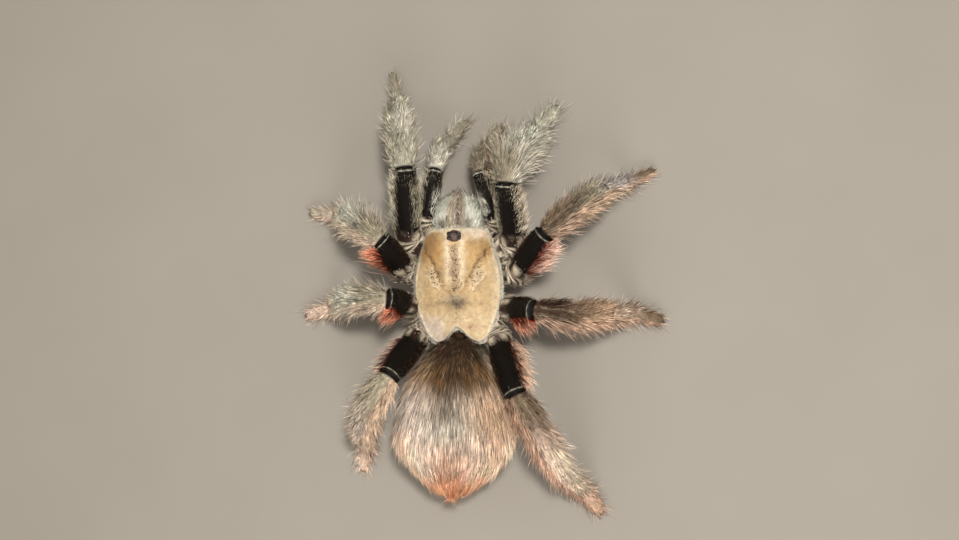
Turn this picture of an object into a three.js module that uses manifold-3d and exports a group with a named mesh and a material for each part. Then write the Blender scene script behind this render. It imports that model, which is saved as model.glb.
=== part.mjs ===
// A large hairy ground tarantula, standing at rest, at life size.
// Millimetres and degrees. +X is the animal's right, +Y its front and +Z up, and the floor is Z = 0.
// Every solid reaches out to the tips of the coat, and thin open seams part one piece from the next.
import * as THREE from "three";
import { mergeVertices } from "three/addons/utils/BufferGeometryUtils.js";
import Module from "manifold-3d";

const wasm = await Module();
wasm.setup();

// ---------- Driving dimensions ----------

const SEAM = 0.3;
const EYE_SEAM = 0.06;

// The trunk's own frame: the middle of the carapace, level with its margin. The hips stand round the
// same middle, turned a little the other way, and the abdomen bends on the waist.
const BODY_AT = new THREE.Vector3(-3.0, 0.2, 13.5);
const BODY_YAW = 1.5;
const HIPS_YAW = -1;
const WAIST_AT = new THREE.Vector3(0, -11.0, -1.0);
const ABDOMEN_YAW = -4;

// How high the foot's joint and the foot's tip are held above the floor.
const ANKLE_HEIGHT = 2.2;
const TOE_HEIGHT = 1.2;

// Two points closer than this are one point of a solid.
const WELD = 1e-4;

// Facets round and along each kind of solid.
const LIMB_SIDES = 8;
const CARAPACE_FACETS = [18, 8];
const STERNUM_FACETS = [8, 4];
const LABIUM_FACETS = [8, 2];
const ABDOMEN_FACETS = [18, 9];
const CHELICERA_FACETS = [10, 5];
const FANG_FACETS = [6, 4];
const TUBERCLE_FACETS = [8, 6];
const EYE_FACETS = [6, 4];

// A limb piece ends in a ball, cut off where it has come this share of its radius past the joint,
// and so has narrowed to this share of its width.
const BALL_REACH = 0.85;
const BALL_CLOSING = Math.sqrt(1 - BALL_REACH ** 2);

// Each limb: where it leaves the body, the lengths of its segments, and the heading (yaw) and rise
// (pitch) of each segment as the animal stands. The last two rises follow from the floor.
const LEGS = {
  leg_1: {
    coxa: [4.7, 5.6, -3.6],
    hip: [11.7, 9.2, -0.6],
    lengths: [18.5, 8.5, 12.5, 10.5, 6.0],
    girth: 1.0,
    left: { yaw: [84, 105, 111, 114, 102], pitch: [40, -29, -49] },
    right: { yaw: [88, 85, 68, 71, 57], pitch: [55, -35, -66] },
  },
  leg_2: {
    coxa: [5.0, 1.8, -3.6],
    hip: [12.7, 2.8, -1.3],
    lengths: [15.5, 9.0, 11.5, 11.0, 6.0],
    girth: 0.95,
    left: { yaw: [109, 148, 149, 167, 175], pitch: [70, -36, -54] },
    right: { yaw: [45, 44, 43, 29, 27], pitch: [50, -25, -48] },
  },
  leg_3: {
    coxa: [5.0, -2.4, -3.6],
    hip: [10.8, -5.3, -1.1],
    lengths: [13.5, 8.5, 11.0, 11.5, 6.0],
    girth: 0.95,
    left: { yaw: [153, 180, 183, 187, 197], pitch: [80, -27, -56] },
    right: { yaw: [-6, -8, 6, 8, -14], pitch: [59, -20, -50] },
  },
  leg_4: {
    coxa: [4.4, -6.4, -3.6],
    hip: [9.0, -11.9, -1.1],
    lengths: [17.5, 8.0, 13.5, 14.0, 5.0],
    girth: 1.0,
    left: { yaw: [-109, -124, -122, -131, -97], pitch: [60, -7, -54] },
    right: { yaw: [-65, -63, -62, -54, -50], pitch: [44, -23, -31] },
  },
};

const PALP = {
  coxa: [3.3, 7.4, -4.0],
  hip: [8.0, 13.5, -1.6],
  lengths: [11.5, 7.0, 9.5, 5.0],
  left: { yaw: [78, 88, 77, 53], pitch: [16, -36] },
  right: { yaw: [107, 98, 90, 64], pitch: [22, -47] },
};

// Radii of each kind of segment over its coat: at its start, its middle and its end.
const LEG_RADII = {
  coxa: [2.1, 2.8, 3.2],
  femur: [2.9, 3.2, 2.8],
  patella: [2.8, 3.3, 3.1],
  tibia: [3.0, 3.3, 2.7],
  metatarsus: [2.6, 2.5, 2.2],
  tarsus: [2.1, 2.2, 1.8],
};
const PALP_RADII = {
  coxa: [2.0, 2.2, 2.1],
  femur: [2.1, 2.4, 2.3],
  patella: [2.3, 2.6, 2.5],
  tibia: [2.4, 2.6, 2.2],
  tarsus: [2.0, 2.1, 1.7],
};

// How the segments of a limb are grouped in parts, from the body outwards.
const LEG_GROUPS = {
  base: "coxa",
  outer: [
    { part: "femur", finish: "black_coat", segments: ["femur"] },
    { part: "patella_tibia", finish: "grey_coat", segments: ["patella", "tibia"] },
    { part: "foot", finish: "grey_coat", segments: ["metatarsus", "tarsus"] },
  ],
};
const PALP_GROUPS = {
  base: "maxilla",
  outer: [
    { part: "femur", finish: "black_coat", segments: ["femur"] },
    { part: "patella_tibia", finish: "grey_coat", segments: ["patella", "tibia"] },
    { part: "tarsus", finish: "grey_coat", segments: ["tarsus"] },
  ],
};

// Sections along the trunk, as [y, half width, rise, depth, x, z]: rise and depth are measured from
// the section's own middle at x, z, in the trunk's frame.
const CARAPACE_DEPTH = 0.8;
const CARAPACE = [
  [-13.6, 4.2, 1.4],
  [-12.0, 6.5, 2.3],
  [-9.4, 8.0, 3.3],
  [-5.6, 9.4, 4.3],
  [-1.0, 9.9, 5.0],
  [3.6, 9.3, 5.6],
  [7.6, 8.0, 5.9],
  [10.6, 6.9, 5.2],
  [12.2, 6.2, 3.9],
].map(([y, halfWidth, rise]) => [y, halfWidth, rise, CARAPACE_DEPTH, 0, 0]);

// The sternum and the soft core above it, which the coxae close in.
const STERNUM = [
  [-9.2, 2.2, 2.6, 2.6, 0, -4.1],
  [-6.0, 3.7, 3.0, 3.1, 0, -4.1],
  [0.0, 4.4, 3.0, 3.3, 0, -4.1],
  [5.0, 4.0, 3.0, 3.2, 0, -4.1],
  [8.0, 2.5, 2.8, 2.8, 0, -4.1],
];

const LABIUM = [
  [8.5, 1.5, 1.0, 1.2, 0, -5.6],
  [9.4, 1.8, 1.2, 1.4, 0, -5.6],
  [10.4, 1.2, 0.9, 1.0, 0, -5.6],
];

const ABDOMEN = [
  [-46.6, 1.8, 1.6, 1.8, 0, -1.4],
  [-44.0, 6.4, 4.9, 5.2, 0, -1.0],
  [-39.8, 10.6, 8.2, 8.2, 0, -0.6],
  [-35.0, 13.2, 10.3, 9.9, 0, -0.3],
  [-29.0, 13.2, 11.0, 10.4, 0, -0.2],
  [-22.5, 11.5, 10.7, 9.8, 0, -0.2],
  [-17.6, 9.3, 9.6, 8.4, 0, -0.2],
  [-14.4, 7.0, 7.4, 6.2, 0, 0.0],
  [-12.2, 4.6, 5.0, 4.2, 0, 0.4],
  [-11.0, 2.2, 2.6, 2.4, 0, 0.8],
];

// One chelicera, drawn for the right side: its inner face stays beside the midline.
const CHELICERA_CLEARANCE = 0.15;
const CHELICERA = [
  [10.4, 2.7, 3.4, 3.4, 0, 0.2],
  [13.0, 3.0, 4.2, 4.2, 0, 0.1],
  [16.2, 2.8, 3.9, 4.4, 0, -0.4],
  [19.0, 2.2, 2.5, 3.2, 0, -1.2],
  [20.8, 1.1, 1.1, 1.5, 0, -1.8],
].map(([y, halfWidth, rise, depth, , z]) => [
  y,
  halfWidth,
  rise,
  depth,
  halfWidth + CHELICERA_CLEARANCE,
  z,
]);

const FANG = [
  [13.0, 0.3, 0.3, 0.3, 1.2, -6.1],
  [15.2, 0.55, 0.5, 0.5, 1.5, -6.5],
  [17.2, 0.8, 0.7, 0.7, 1.9, -6.1],
  [18.9, 0.95, 0.9, 0.9, 2.1, -5.0],
];

const PEDICEL = {
  joints: [
    [0, -8.6, -2.4],
    [0, -12.8, -1.0],
  ],
  radii: [1.6, 1.5, 1.6],
};

const SPINNERET = {
  joints: [
    [1.3, -43.2, -4.2],
    [1.8, -46.5, -3.4],
  ],
  radii: [0.85, 0.75, 0.5],
};

// The eye tubercle is a low dome on the front of the carapace, and the eyes stand on it in two rows.
const TUBERCLE_AT = new THREE.Vector3(0, 9.9, 5.2);
const TUBERCLE_SIZE = new THREE.Vector3(1.55, 1.35, 1.35);
const EYES = {
  front_middle: { toward: [0.34, 0.42, 0.84], radius: 0.3 },
  front_side: { toward: [0.8, 0.5, 0.34], radius: 0.32 },
  rear_middle: { toward: [0.56, -0.2, 0.8], radius: 0.2 },
  rear_side: { toward: [0.84, -0.38, 0.4], radius: 0.28 },
};

const SIDES = [
  { label: "left", side: -1 },
  { label: "right", side: 1 },
];

// A block under the floor, to cut the feet flat.
const GROUND_BLOCK = [400, 400, 20];

// ---------- Finishes ----------

const FINISHES = {
  carapace: { color: 0xc9ab78, roughness: 0.8 },
  pale_coat: { color: 0xb9ab98, roughness: 0.9 },
  grey_coat: { color: 0xa9a69b, roughness: 0.9 },
  black_coat: { color: 0x17120f, roughness: 0.85 },
  abdomen_coat: { color: 0xa28c7c, roughness: 0.95 },
  cheek_coat: { color: 0xbdb9a6, roughness: 0.9 },
  dark_shell: { color: 0x241813, roughness: 0.45 },
  fang: { color: 0x0d0a09, roughness: 0.2 },
  eye: { color: 0x0a0807, roughness: 0.08 },
};

const materials = Object.fromEntries(
  Object.entries(FINISHES).map(([name, finish]) => [
    name,
    new THREE.MeshStandardMaterial({ ...finish, metalness: 0 }),
  ]),
);

// ---------- Solids ----------

function toSolid(geometry, matrix) {
  const placed = geometry.clone();
  if (matrix) {
    placed.applyMatrix4(matrix);
  }
  return new wasm.Manifold(
    new wasm.Mesh({
      numProp: 3,
      vertProperties: placed.getAttribute("position").array,
      triVerts: new Uint32Array(placed.index.array),
    }),
  );
}

function toGeometry(solid) {
  const mesh = solid.getMesh();
  return new THREE.BufferGeometry()
    .setAttribute("position", new THREE.BufferAttribute(mesh.vertProperties, 3))
    .setIndex(new THREE.BufferAttribute(mesh.triVerts, 1));
}

function bare(geometry) {
  geometry.deleteAttribute("normal");
  geometry.deleteAttribute("uv");
  return mergeVertices(geometry, WELD);
}

// A closed loft: each ring of a capped cylinder is moved by placeAt, which is handed the ring's
// number and a point of the unit circle, across as x and up as z. The cylinder's height is the
// number of its bands, so that its rings stand one apart.
function loft(sides, bands, placeAt) {
  const geometry = bare(new THREE.CylinderGeometry(1, 1, bands, sides, bands));
  const places = geometry.getAttribute("position");
  const point = new THREE.Vector3();
  for (let i = 0; i < places.count; i += 1) {
    point.fromBufferAttribute(places, i);
    const ring = Math.round(point.y + bands / 2);
    places.setXYZ(i, ...placeAt(ring, point.x, point.z));
  }
  return geometry;
}

// A loft along the trunk through a table of sections, swollen all over by grow.
function bodyLoft(rows, [sides, bands], grow) {
  const stations = rows.map((row, i) => i / (rows.length - 1));
  const columns = rows[0].length;
  const smooth = new THREE.CubicInterpolant(stations, rows.flat(), columns, new Float32Array(columns));
  const rear = rows[0][0];
  const front = rows.at(-1)[0];
  return loft(sides, bands, (ring, across, up) => {
    const [y, halfWidth, rise, depth, x, z] = smooth.evaluate(ring / bands);
    const reach = THREE.MathUtils.mapLinear(y, rear, front, rear - grow, front + grow);
    const height = (up > 0 ? rise : depth) + grow;
    return [x + across * (halfWidth + grow), reach, z + up * height];
  });
}

// The rings of a limb piece of one or more segments, each a centre, a direction and a radius.
// A ball closes each end, and the ring at a bend halves its angle.
function limbRings(joints, radii, grow) {
  const runs = joints.slice(1).map((joint, i) => joint.clone().sub(joints[i]).normalize());
  const ring = (centre, direction, past, radius, kept = 1) => ({
    centre: centre.clone().addScaledVector(direction, past),
    direction,
    radius: (radius + grow) * kept,
  });
  const ballReach = (radius) => BALL_REACH * (radius + grow);
  const [startRadius] = radii[0];
  const endRadius = radii.at(-1).at(-1);
  const rings = [
    ring(joints[0], runs[0], -ballReach(startRadius), startRadius, BALL_CLOSING),
    ring(joints[0], runs[0], 0, startRadius),
  ];
  radii.forEach(([, middle, end], i) => {
    const centre = joints[i].clone().lerp(joints[i + 1], 0.5);
    rings.push(ring(centre, runs[i], 0, middle));
    const next = radii[i + 1];
    if (next) {
      const halfway = runs[i].clone().add(runs[i + 1]).normalize();
      rings.push(ring(joints[i + 1], halfway, 0, (end + next[0]) / 2));
    } else {
      rings.push(ring(joints[i + 1], runs[i], 0, end));
    }
  });
  rings.push(ring(joints.at(-1), runs.at(-1), ballReach(endRadius), endRadius, BALL_CLOSING));
  return rings;
}

// A limb piece through its joints, swollen all over by grow.
function limb(joints, radii, grow = 0) {
  const rings = limbRings(joints, radii, grow).map(({ centre, direction, radius }) => {
    const across = new THREE.Vector3(direction.y, -direction.x, 0).normalize();
    const up = across.clone().cross(direction);
    return { centre, across: across.multiplyScalar(radius), up: up.multiplyScalar(radius) };
  });
  return loft(LIMB_SIDES, rings.length - 1, (number, x, z) => {
    const { centre, across, up } = rings[number];
    return centre.clone().addScaledVector(across, x).addScaledVector(up, z);
  });
}

// ---------- The scene graph and the cuts between its meshes ----------

const tarantula = new THREE.Group();

function addFrame(parent, place, yaw) {
  const group = new THREE.Group();
  group.position.copy(place);
  group.rotation.z = THREE.MathUtils.degToRad(yaw);
  parent.add(group);
  group.updateWorldMatrix(true, false);
  return group;
}

const body = addFrame(tarantula, BODY_AT, BODY_YAW);
const hips = addFrame(tarantula, BODY_AT, HIPS_YAW);
const waist = addFrame(body, WAIST_AT, ABDOMEN_YAW);

const cutters = new Map();

// Adds one named mesh at its place. shapeAt gives its geometry, swollen by the amount it is handed.
function addPart(parent, name, finish, place, shapeAt, seam = SEAM) {
  const mesh = new THREE.Mesh(shapeAt(0), materials[finish]);
  mesh.name = name;
  mesh.position.copy(place);
  parent.add(mesh);
  mesh.updateWorldMatrix(true, false);
  cutters.set(mesh, toSolid(shapeAt(seam), mesh.matrixWorld));
  return mesh;
}

// Takes solids away from a mesh, and keeps its main piece.
function cut(mesh, solids) {
  let solid = toSolid(mesh.geometry, mesh.matrixWorld);
  for (const cutter of solids) {
    solid = solid.subtract(cutter);
  }
  const pieces = solid.decompose().sort((a, b) => b.volume() - a.volume());
  mesh.geometry = toGeometry(pieces[0]).applyMatrix4(mesh.matrixWorld.clone().invert());
}

// Cuts a mesh back so that a seam stays open between it and each of its neighbours.
function trim(mesh, neighbours) {
  cut(
    mesh,
    neighbours.map((neighbour) => cutters.get(neighbour)),
  );
}

const groundBlock = bare(new THREE.BoxGeometry(...GROUND_BLOCK));
const ground = toSolid(groundBlock.translate(0, 0, -GROUND_BLOCK.at(-1) / 2));

function onSide([x, y, z], side) {
  return new THREE.Vector3(side * x, y, z);
}

function addLoft(name, finish, rows, facets) {
  return addPart(body, name, finish, new THREE.Vector3(), (grow) => bodyLoft(rows, facets, grow));
}

function addSideLofts(name, finish, rows, facets) {
  return SIDES.map(({ label, side }) => {
    const sideRows = rows.map(([y, halfWidth, rise, depth, x, z]) => [
      y,
      halfWidth,
      rise,
      depth,
      side * x,
      z,
    ]);
    return addLoft(`${name}_${label}`, finish, sideRows, facets);
  });
}

// Adds a limb piece through its joints, placed at the first of them.
function addLimb(parent, name, finish, joints, radii) {
  const steps = joints.map((joint) => joint.clone().sub(joints[0]));
  return addPart(parent, name, finish, joints[0], (grow) => limb(steps, radii, grow));
}

// Where a limb's joints are, from the hip to the tip of the foot.
function limbJoints(hip, lengths, pose) {
  const ankle = lengths.length - 2;
  const joints = [hip];
  lengths.forEach((length, i) => {
    const joint = joints.at(-1);
    const drop = i < ankle ? 0 : joint.z - (i === ankle ? ANKLE_HEIGHT : TOE_HEIGHT);
    const pitch = i < ankle ? THREE.MathUtils.degToRad(pose.pitch[i]) : -Math.asin(drop / length);
    const yaw = THREE.MathUtils.degToRad(pose.yaw[i]);
    const run = new THREE.Vector3(Math.cos(yaw), Math.sin(yaw), Math.tan(pitch));
    joints.push(joint.clone().addScaledVector(run, length * Math.cos(pitch)));
  });
  return joints;
}

// ---------- Trunk ----------

const carapace = addLoft("carapace", "carapace", CARAPACE, CARAPACE_FACETS);
const sternum = addLoft("sternum", "dark_shell", STERNUM, STERNUM_FACETS);
const labium = addLoft("labium", "dark_shell", LABIUM, LABIUM_FACETS);
const fromWaist = WAIST_AT.clone().negate();
const abdomen = addPart(waist, "abdomen", "abdomen_coat", fromWaist, (grow) =>
  bodyLoft(ABDOMEN, ABDOMEN_FACETS, grow),
);
const pedicel = addLimb(
  body,
  "pedicel",
  "dark_shell",
  PEDICEL.joints.map((joint) => onSide(joint, 1)),
  [PEDICEL.radii],
);
const spinnerets = SIDES.map(({ label, side }) =>
  addLimb(
    waist,
    `spinneret_${label}`,
    "pale_coat",
    SPINNERET.joints.map((joint) => onSide(joint, side).add(fromWaist)),
    [SPINNERET.radii],
  ),
);

// ---------- Head ----------

const chelicerae = addSideLofts("chelicera", "cheek_coat", CHELICERA, CHELICERA_FACETS);
const fangs = addSideLofts("fang", "fang", FANG, FANG_FACETS);

const tubercle = addPart(body, "eye_tubercle", "dark_shell", TUBERCLE_AT, () =>
  bare(new THREE.SphereGeometry(1, ...TUBERCLE_FACETS)).scale(...TUBERCLE_SIZE),
);

const eyes = SIDES.flatMap(({ label, side }) =>
  Object.entries(EYES).map(([place, { toward, radius }]) => {
    const centre = onSide(toward, side).normalize().multiply(TUBERCLE_SIZE).add(TUBERCLE_AT);
    const ball = (grow) => bare(new THREE.SphereGeometry(radius + grow, ...EYE_FACETS));
    return addPart(body, `eye_${place}_${label}`, "eye", centre, ball, EYE_SEAM);
  }),
);

// ---------- Limbs ----------

// Builds one limb: its coxa, its femur, and its remaining segments joined in the groups given.
function buildLimb(name, plan, side, pose, radii, groups, beside) {
  const hip = hips.localToWorld(onSide(plan.hip, side));
  const coxaJoints = [onSide(plan.coxa, side), body.worldToLocal(hip.clone())];
  const coxa = addLimb(body, `${name}_${groups.base}`, "pale_coat", coxaJoints, [radii.coxa]);
  trim(coxa, [carapace, sternum, ...beside]);

  const joints = limbJoints(hip, plan.lengths, pose);
  const pieces = [coxa];
  let first = 0;
  for (const { part, finish, segments } of groups.outer) {
    const last = first + segments.length;
    const piece = addLimb(
      tarantula,
      `${name}_${part}`,
      finish,
      joints.slice(first, last + 1),
      segments.map((segment) => radii[segment]),
    );
    trim(piece, first === 0 ? [coxa, carapace, ...beside] : [pieces.at(-1)]);
    pieces.push(piece);
    first = last;
  }
  cut(pieces.at(-1), [ground]);
  return pieces;
}

const palps = [];
const hindLegs = [];
for (const { label, side } of SIDES) {
  const palp = buildLimb(`palp_${label}`, PALP, side, PALP[label], PALP_RADII, PALP_GROUPS, [labium]);
  palps.push(...palp);
  let beside = [palp[0]];
  for (const [legName, plan] of Object.entries(LEGS)) {
    const radii = Object.fromEntries(
      Object.entries(LEG_RADII).map(([part, row]) => [part, row.map((radius) => radius * plan.girth)]),
    );
    const leg = buildLimb(`${legName}_${label}`, plan, side, plan[label], radii, LEG_GROUPS, beside);
    beside = [leg[0]];
    if (legName === "leg_4") {
      hindLegs.push(...leg);
    }
  }
}

// ---------- Seams of the trunk and head ----------

trim(abdomen, [carapace, pedicel, ...hindLegs, ...spinnerets]);
trim(pedicel, [carapace, sternum]);
trim(tubercle, [carapace, ...eyes]);
for (const chelicera of chelicerae) {
  trim(chelicera, [carapace, sternum, labium, ...palps]);
}
fangs.forEach((fang, i) => trim(fang, [chelicerae[i]]));

export default tarantula;
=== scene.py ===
"""A large ground tarantula at rest: its skin, shell plates, eyes, fangs and coat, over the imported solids.

Lengths are millimetres in the tables, as on a drawing, and metres in every mesh. +X is the animal's right,
+Y its front and +Z up, and the floor is Z = 0.
"""

import logging
import math
from collections.abc import Mapping, Sequence
from dataclasses import dataclass, field, replace
from enum import Enum

import bpy
import numpy as np
from mathutils import Matrix, Vector, kdtree


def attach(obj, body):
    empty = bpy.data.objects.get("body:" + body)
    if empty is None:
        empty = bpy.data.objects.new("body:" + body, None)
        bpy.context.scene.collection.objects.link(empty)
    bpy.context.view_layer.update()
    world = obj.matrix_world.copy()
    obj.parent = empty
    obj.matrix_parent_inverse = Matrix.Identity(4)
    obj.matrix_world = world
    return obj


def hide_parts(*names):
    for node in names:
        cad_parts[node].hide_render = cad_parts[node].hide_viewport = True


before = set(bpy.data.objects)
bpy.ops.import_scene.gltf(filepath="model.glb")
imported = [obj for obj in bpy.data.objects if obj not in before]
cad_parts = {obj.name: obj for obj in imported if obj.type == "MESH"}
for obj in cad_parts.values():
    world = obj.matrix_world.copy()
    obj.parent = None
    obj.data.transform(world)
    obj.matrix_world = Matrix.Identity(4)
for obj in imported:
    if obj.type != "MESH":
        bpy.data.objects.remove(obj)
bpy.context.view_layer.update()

LOG = logging.getLogger("tarantula")
MM = 0.001
UP = np.array([0.0, 0.0, 1.0])
# The lightest that a hair tip gets, in scene-linear light.
BRIGHTEST = 0.97

Point = tuple[float, float, float]
Array = np.ndarray


# ---------------- colours and small maths


def linear(code: int) -> Array:
    """The scene-linear colour of an sRGB hex code, as three numbers."""
    channels = np.array([code >> 16 & 255, code >> 8 & 255, code & 255]) / 255
    return np.where(channels <= 0.04045, channels / 12.92, ((channels + 0.055) / 1.055) ** 2.4)


class Tone(Enum):
    """The colours of the animal's skin, shell and hair."""

    VELVET = 0x0D0804
    SOOT = 0x2A1E16
    BARK = 0x46301C
    UMBER = 0x4A3526
    CHESTNUT = 0x6B4A33
    OLIVE = 0x5E4A30
    RUSSET = 0x9C7448
    TAUPE = 0x957E64
    ASH = 0xB6AA90
    SILVER = 0xCDC6AF
    FROST = 0xE4DDC9
    CHALK = 0xF0EDD8
    SAND = 0xD6C6AC
    PEARL = 0xEEDAC2
    HUSK = 0xD8C4B2
    CREAM = 0xE3D2B6
    SHELL = 0xFFDFC6
    PEACH = 0xFAD2B2
    BLUSH = 0xE8C0A2
    FAWN = 0xD8B592
    ROSE = 0xCA9B7E
    SALMON = 0xE8A380
    APRICOT = 0xFFB286
    EMBER = 0xC23C1C
    BRICK = 0x8A4A36
    LILAC = 0xE2D8D2
    AMBER = 0xAE8248
    WHEAT = 0xC8A878
    IVORY = 0xE6D2B2

    @property
    def rgb(self) -> Array:
        """The tone in scene-linear light."""
        return linear(self.value)


def ramp(value: Array, low: float, high: float) -> Array:
    """A smooth step from 0 at low to 1 at high, or down again where high is the smaller."""
    share = np.clip((np.asarray(value, float) - low) / (high - low), 0, 1)
    return share * share * (3 - 2 * share)


def bump_at(value: Array, centre: float, width: float) -> Array:
    """A round hump of height 1 at centre, fading over width."""
    return np.exp(-(((np.asarray(value, float) - centre) / width) ** 2))


def oval(x: Array, y: Array, width: float, length: float) -> Array:
    """A hump of height 1 where x and y are 0, fading over a width and a length."""
    return np.exp(-((x / width) ** 2) - (y / length) ** 2)


def blend(first: Array, second: Array, share: Array) -> Array:
    """Mixes two colours, or two arrays of colours, by a share at each point.

    Args:
        first: Colour where the share is 0.
        second: Colour where the share is 1.
        share: Share of the second at each point.

    Returns:
        One colour for each point.
    """
    weight = np.clip(np.asarray(share, float), 0, 1)[..., None]
    return first * (1 - weight) + second * weight


def painted(base: Array, *coats: tuple[Array, Array]) -> Array:
    """Lays colours over a base, one after another.

    Args:
        base: Colour underneath.
        coats: Each colour, with its share at each point.

    Returns:
        One colour for each point.
    """
    for colour, share in coats:
        base = blend(base, colour, share)
    return base


def mottle(x: Array, y: Array, size: float, seed: int) -> Array:
    """Smooth uneven patches of about a size, from 0 to 1.

    Args:
        x: First coordinate at each point.
        y: Second coordinate.
        size: Distance from one patch to the next.
        seed: Seed of the pattern.

    Returns:
        The height of the pattern at each point.
    """
    rng = np.random.default_rng(seed)
    total = np.zeros(np.shape(x))
    for angle, phase, pace in zip(rng.uniform(0, 6.3, 8), rng.uniform(0, 6.3, 8), rng.uniform(3.5, 9.0, 8)):
        total = total + np.sin((x * np.cos(angle) + y * np.sin(angle)) * pace / size + phase)
    return np.clip(0.5 + total / 8, 0, 1)


def unit(vectors: Array) -> Array:
    """The vectors at length 1."""
    return vectors / np.maximum(np.linalg.norm(vectors, axis=-1, keepdims=True), 1e-12)


# ---------------- node trees


class Socket:
    """An output in a node tree, on which plain arithmetic adds Math or Vector Math nodes."""

    def __init__(self, graph: "Graph", output: bpy.types.NodeSocket) -> None:
        """Wraps one output of a node in the graph."""
        self.graph = graph
        self.output = output

    def beside(self, name: str) -> "Socket":
        """Another output of the same node."""
        return Socket(self.graph, find_socket(self.output.node.outputs, name))

    def _pair(self, operation: str, left: object, right: object) -> "Socket":
        """Adds the node for left operation right.

        Args:
            operation: Name of the Math or Vector Math operation.
            left: First value, a number, a triple or a Socket.
            right: Second value, likewise.

        Returns:
            The result.
        """
        vectors = [isinstance(item, tuple) or getattr(item, "is_vector", False) for item in (left, right)]
        if not any(vectors):
            return self.graph.maths(operation, left, right)
        if operation == "MULTIPLY" and not all(vectors):
            vector, scale = (left, right) if vectors[0] else (right, left)
            return self.graph.add(
                "ShaderNodeVectorMath", {"operation": "SCALE"}, {"Vector": vector, "Scale": scale}
            )
        return self.graph.vector_maths(operation, left, right)

    @property
    def is_vector(self) -> bool:
        """Whether it carries three numbers."""
        return self.output.type in {"VECTOR", "RGBA"}

    def __add__(self, other: object) -> "Socket":
        """self + other."""
        return self._pair("ADD", self, other)

    def __radd__(self, other: object) -> "Socket":
        """other + self."""
        return self._pair("ADD", other, self)

    def __sub__(self, other: object) -> "Socket":
        """self - other."""
        return self._pair("SUBTRACT", self, other)

    def __rsub__(self, other: object) -> "Socket":
        """other - self."""
        return self._pair("SUBTRACT", other, self)

    def __mul__(self, other: object) -> "Socket":
        """self * other."""
        return self._pair("MULTIPLY", self, other)

    def __rmul__(self, other: object) -> "Socket":
        """other * self."""
        return self._pair("MULTIPLY", other, self)


def find_socket(sockets: bpy.types.bpy_prop_collection, key: str | int) -> bpy.types.NodeSocket:
    """Finds a node's socket.

    Args:
        sockets: The node's inputs or outputs.
        key: Number or name; of several sockets with one name, the one in use is meant.

    Returns:
        The socket.
    """
    if isinstance(key, int):
        return sockets[key]
    return next(s for s in sockets if s.name == key and s.enabled)


class Graph:
    """Builds one shader or geometry node tree."""

    def __init__(self, tree: bpy.types.NodeTree) -> None:
        """Starts on the tree."""
        self.tree = tree

    def add(
        self,
        kind: str,
        settings: Mapping[str, object] | None = None,
        inputs: Mapping[str | int, object] | None = None,
        output: str | int = 0,
    ) -> Socket:
        """Adds a node.

        Args:
            kind: Type of the node.
            settings: Its properties, set first; "captures" are a Capture Attribute's items.
            inputs: Values, or Sockets to link, by the input's name or number.
            output: Output that is wanted.

        Returns:
            That output.
        """
        node = self.tree.nodes.new(kind)
        for name, value in (settings or {}).items():
            if name == "captures":
                for item, item_kind in value.items():
                    node.capture_items.new(item_kind, item)
            else:
                setattr(node, name, value)
        for key, value in (inputs or {}).items():
            socket = find_socket(node.inputs, key)
            if isinstance(value, Socket):
                self.tree.links.new(value.output, socket)
            else:
                socket.default_value = value
        return Socket(self, self._output(node, output))

    @staticmethod
    def _output(node: bpy.types.Node, key: str | int) -> bpy.types.NodeSocket | None:
        """The output that is wanted, or for 0 the first one in use, if there is one."""
        if key == 0:
            return next((s for s in node.outputs if s.enabled), None)
        return find_socket(node.outputs, key)

    def maths(self, operation: str, *values: object) -> Socket:
        """One Math node on numbers."""
        return self.add("ShaderNodeMath", {"operation": operation}, dict(enumerate(values)))

    def vector_maths(self, operation: str, *values: object) -> Socket:
        """One Vector Math node on vectors or colours."""
        return self.add("ShaderNodeVectorMath", {"operation": operation}, dict(enumerate(values)))

    def mix(self, share: object, first: object, second: object) -> Socket:
        """A Mix node on two colours.

        Args:
            share: Share of the second.
            first: Colour where the share is 0.
            second: Colour where the share is 1.

        Returns:
            The mixed colour.
        """
        colours = {"Factor": share, "A": as_colour(first), "B": as_colour(second)}
        return self.add("ShaderNodeMix", {"data_type": "RGBA"}, colours)

    def noise(self, scale: float, vector: object = None, detail: float = 2.0) -> Socket:
        """The height of a noise pattern, about 0.5 on average."""
        place = {} if vector is None else {"Vector": vector}
        return self.add("ShaderNodeTexNoise", {}, {"Scale": scale, "Detail": detail, **place})


def as_colour(value: object) -> object:
    """A colour of three numbers with the fourth that colour inputs want; anything else as it is."""
    if isinstance(value, (tuple, np.ndarray)):
        return (*[float(channel) for channel in value], 1.0)
    return value


# ---------------- finishes


class Finish:
    """A finish of the animal or the floor, made a material once."""

    name = "finish"
    roughness = 0.6
    gloss = 0.5
    EXTRA: Mapping[str, float] = {}

    def material(self) -> bpy.types.Material:
        """Builds the material: a base shader whose colour and bump the subclass gives.

        Returns:
            The material.
        """
        made = bpy.data.materials.get(self.name)
        if made:
            return made
        made = bpy.data.materials.new(self.name)
        made.use_nodes = True
        shader = next(n for n in made.node_tree.nodes if n.type == "BSDF_PRINCIPLED")
        constants = {"Roughness": self.roughness, "Specular IOR Level": self.gloss, **self.EXTRA}
        for socket, value in constants.items():
            shader.inputs[socket].default_value = value
        for socket, value in self.patterns(Graph(made.node_tree)).items():
            made.node_tree.links.new(value.output, shader.inputs[socket])
        return made

    def patterns(self, graph: Graph) -> dict[str, Socket]:
        """What changes over the surface, by the shader's input."""
        raise NotImplementedError


def object_place(graph: Graph) -> Socket:
    """The place on the piece, in metres."""
    return graph.add("ShaderNodeTexCoord", output="Object")


def stored_colour(graph: Graph, name: str) -> Socket:
    """A colour stored on the mesh."""
    return graph.add("ShaderNodeAttribute", {"attribute_name": name}, output="Color")


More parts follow.
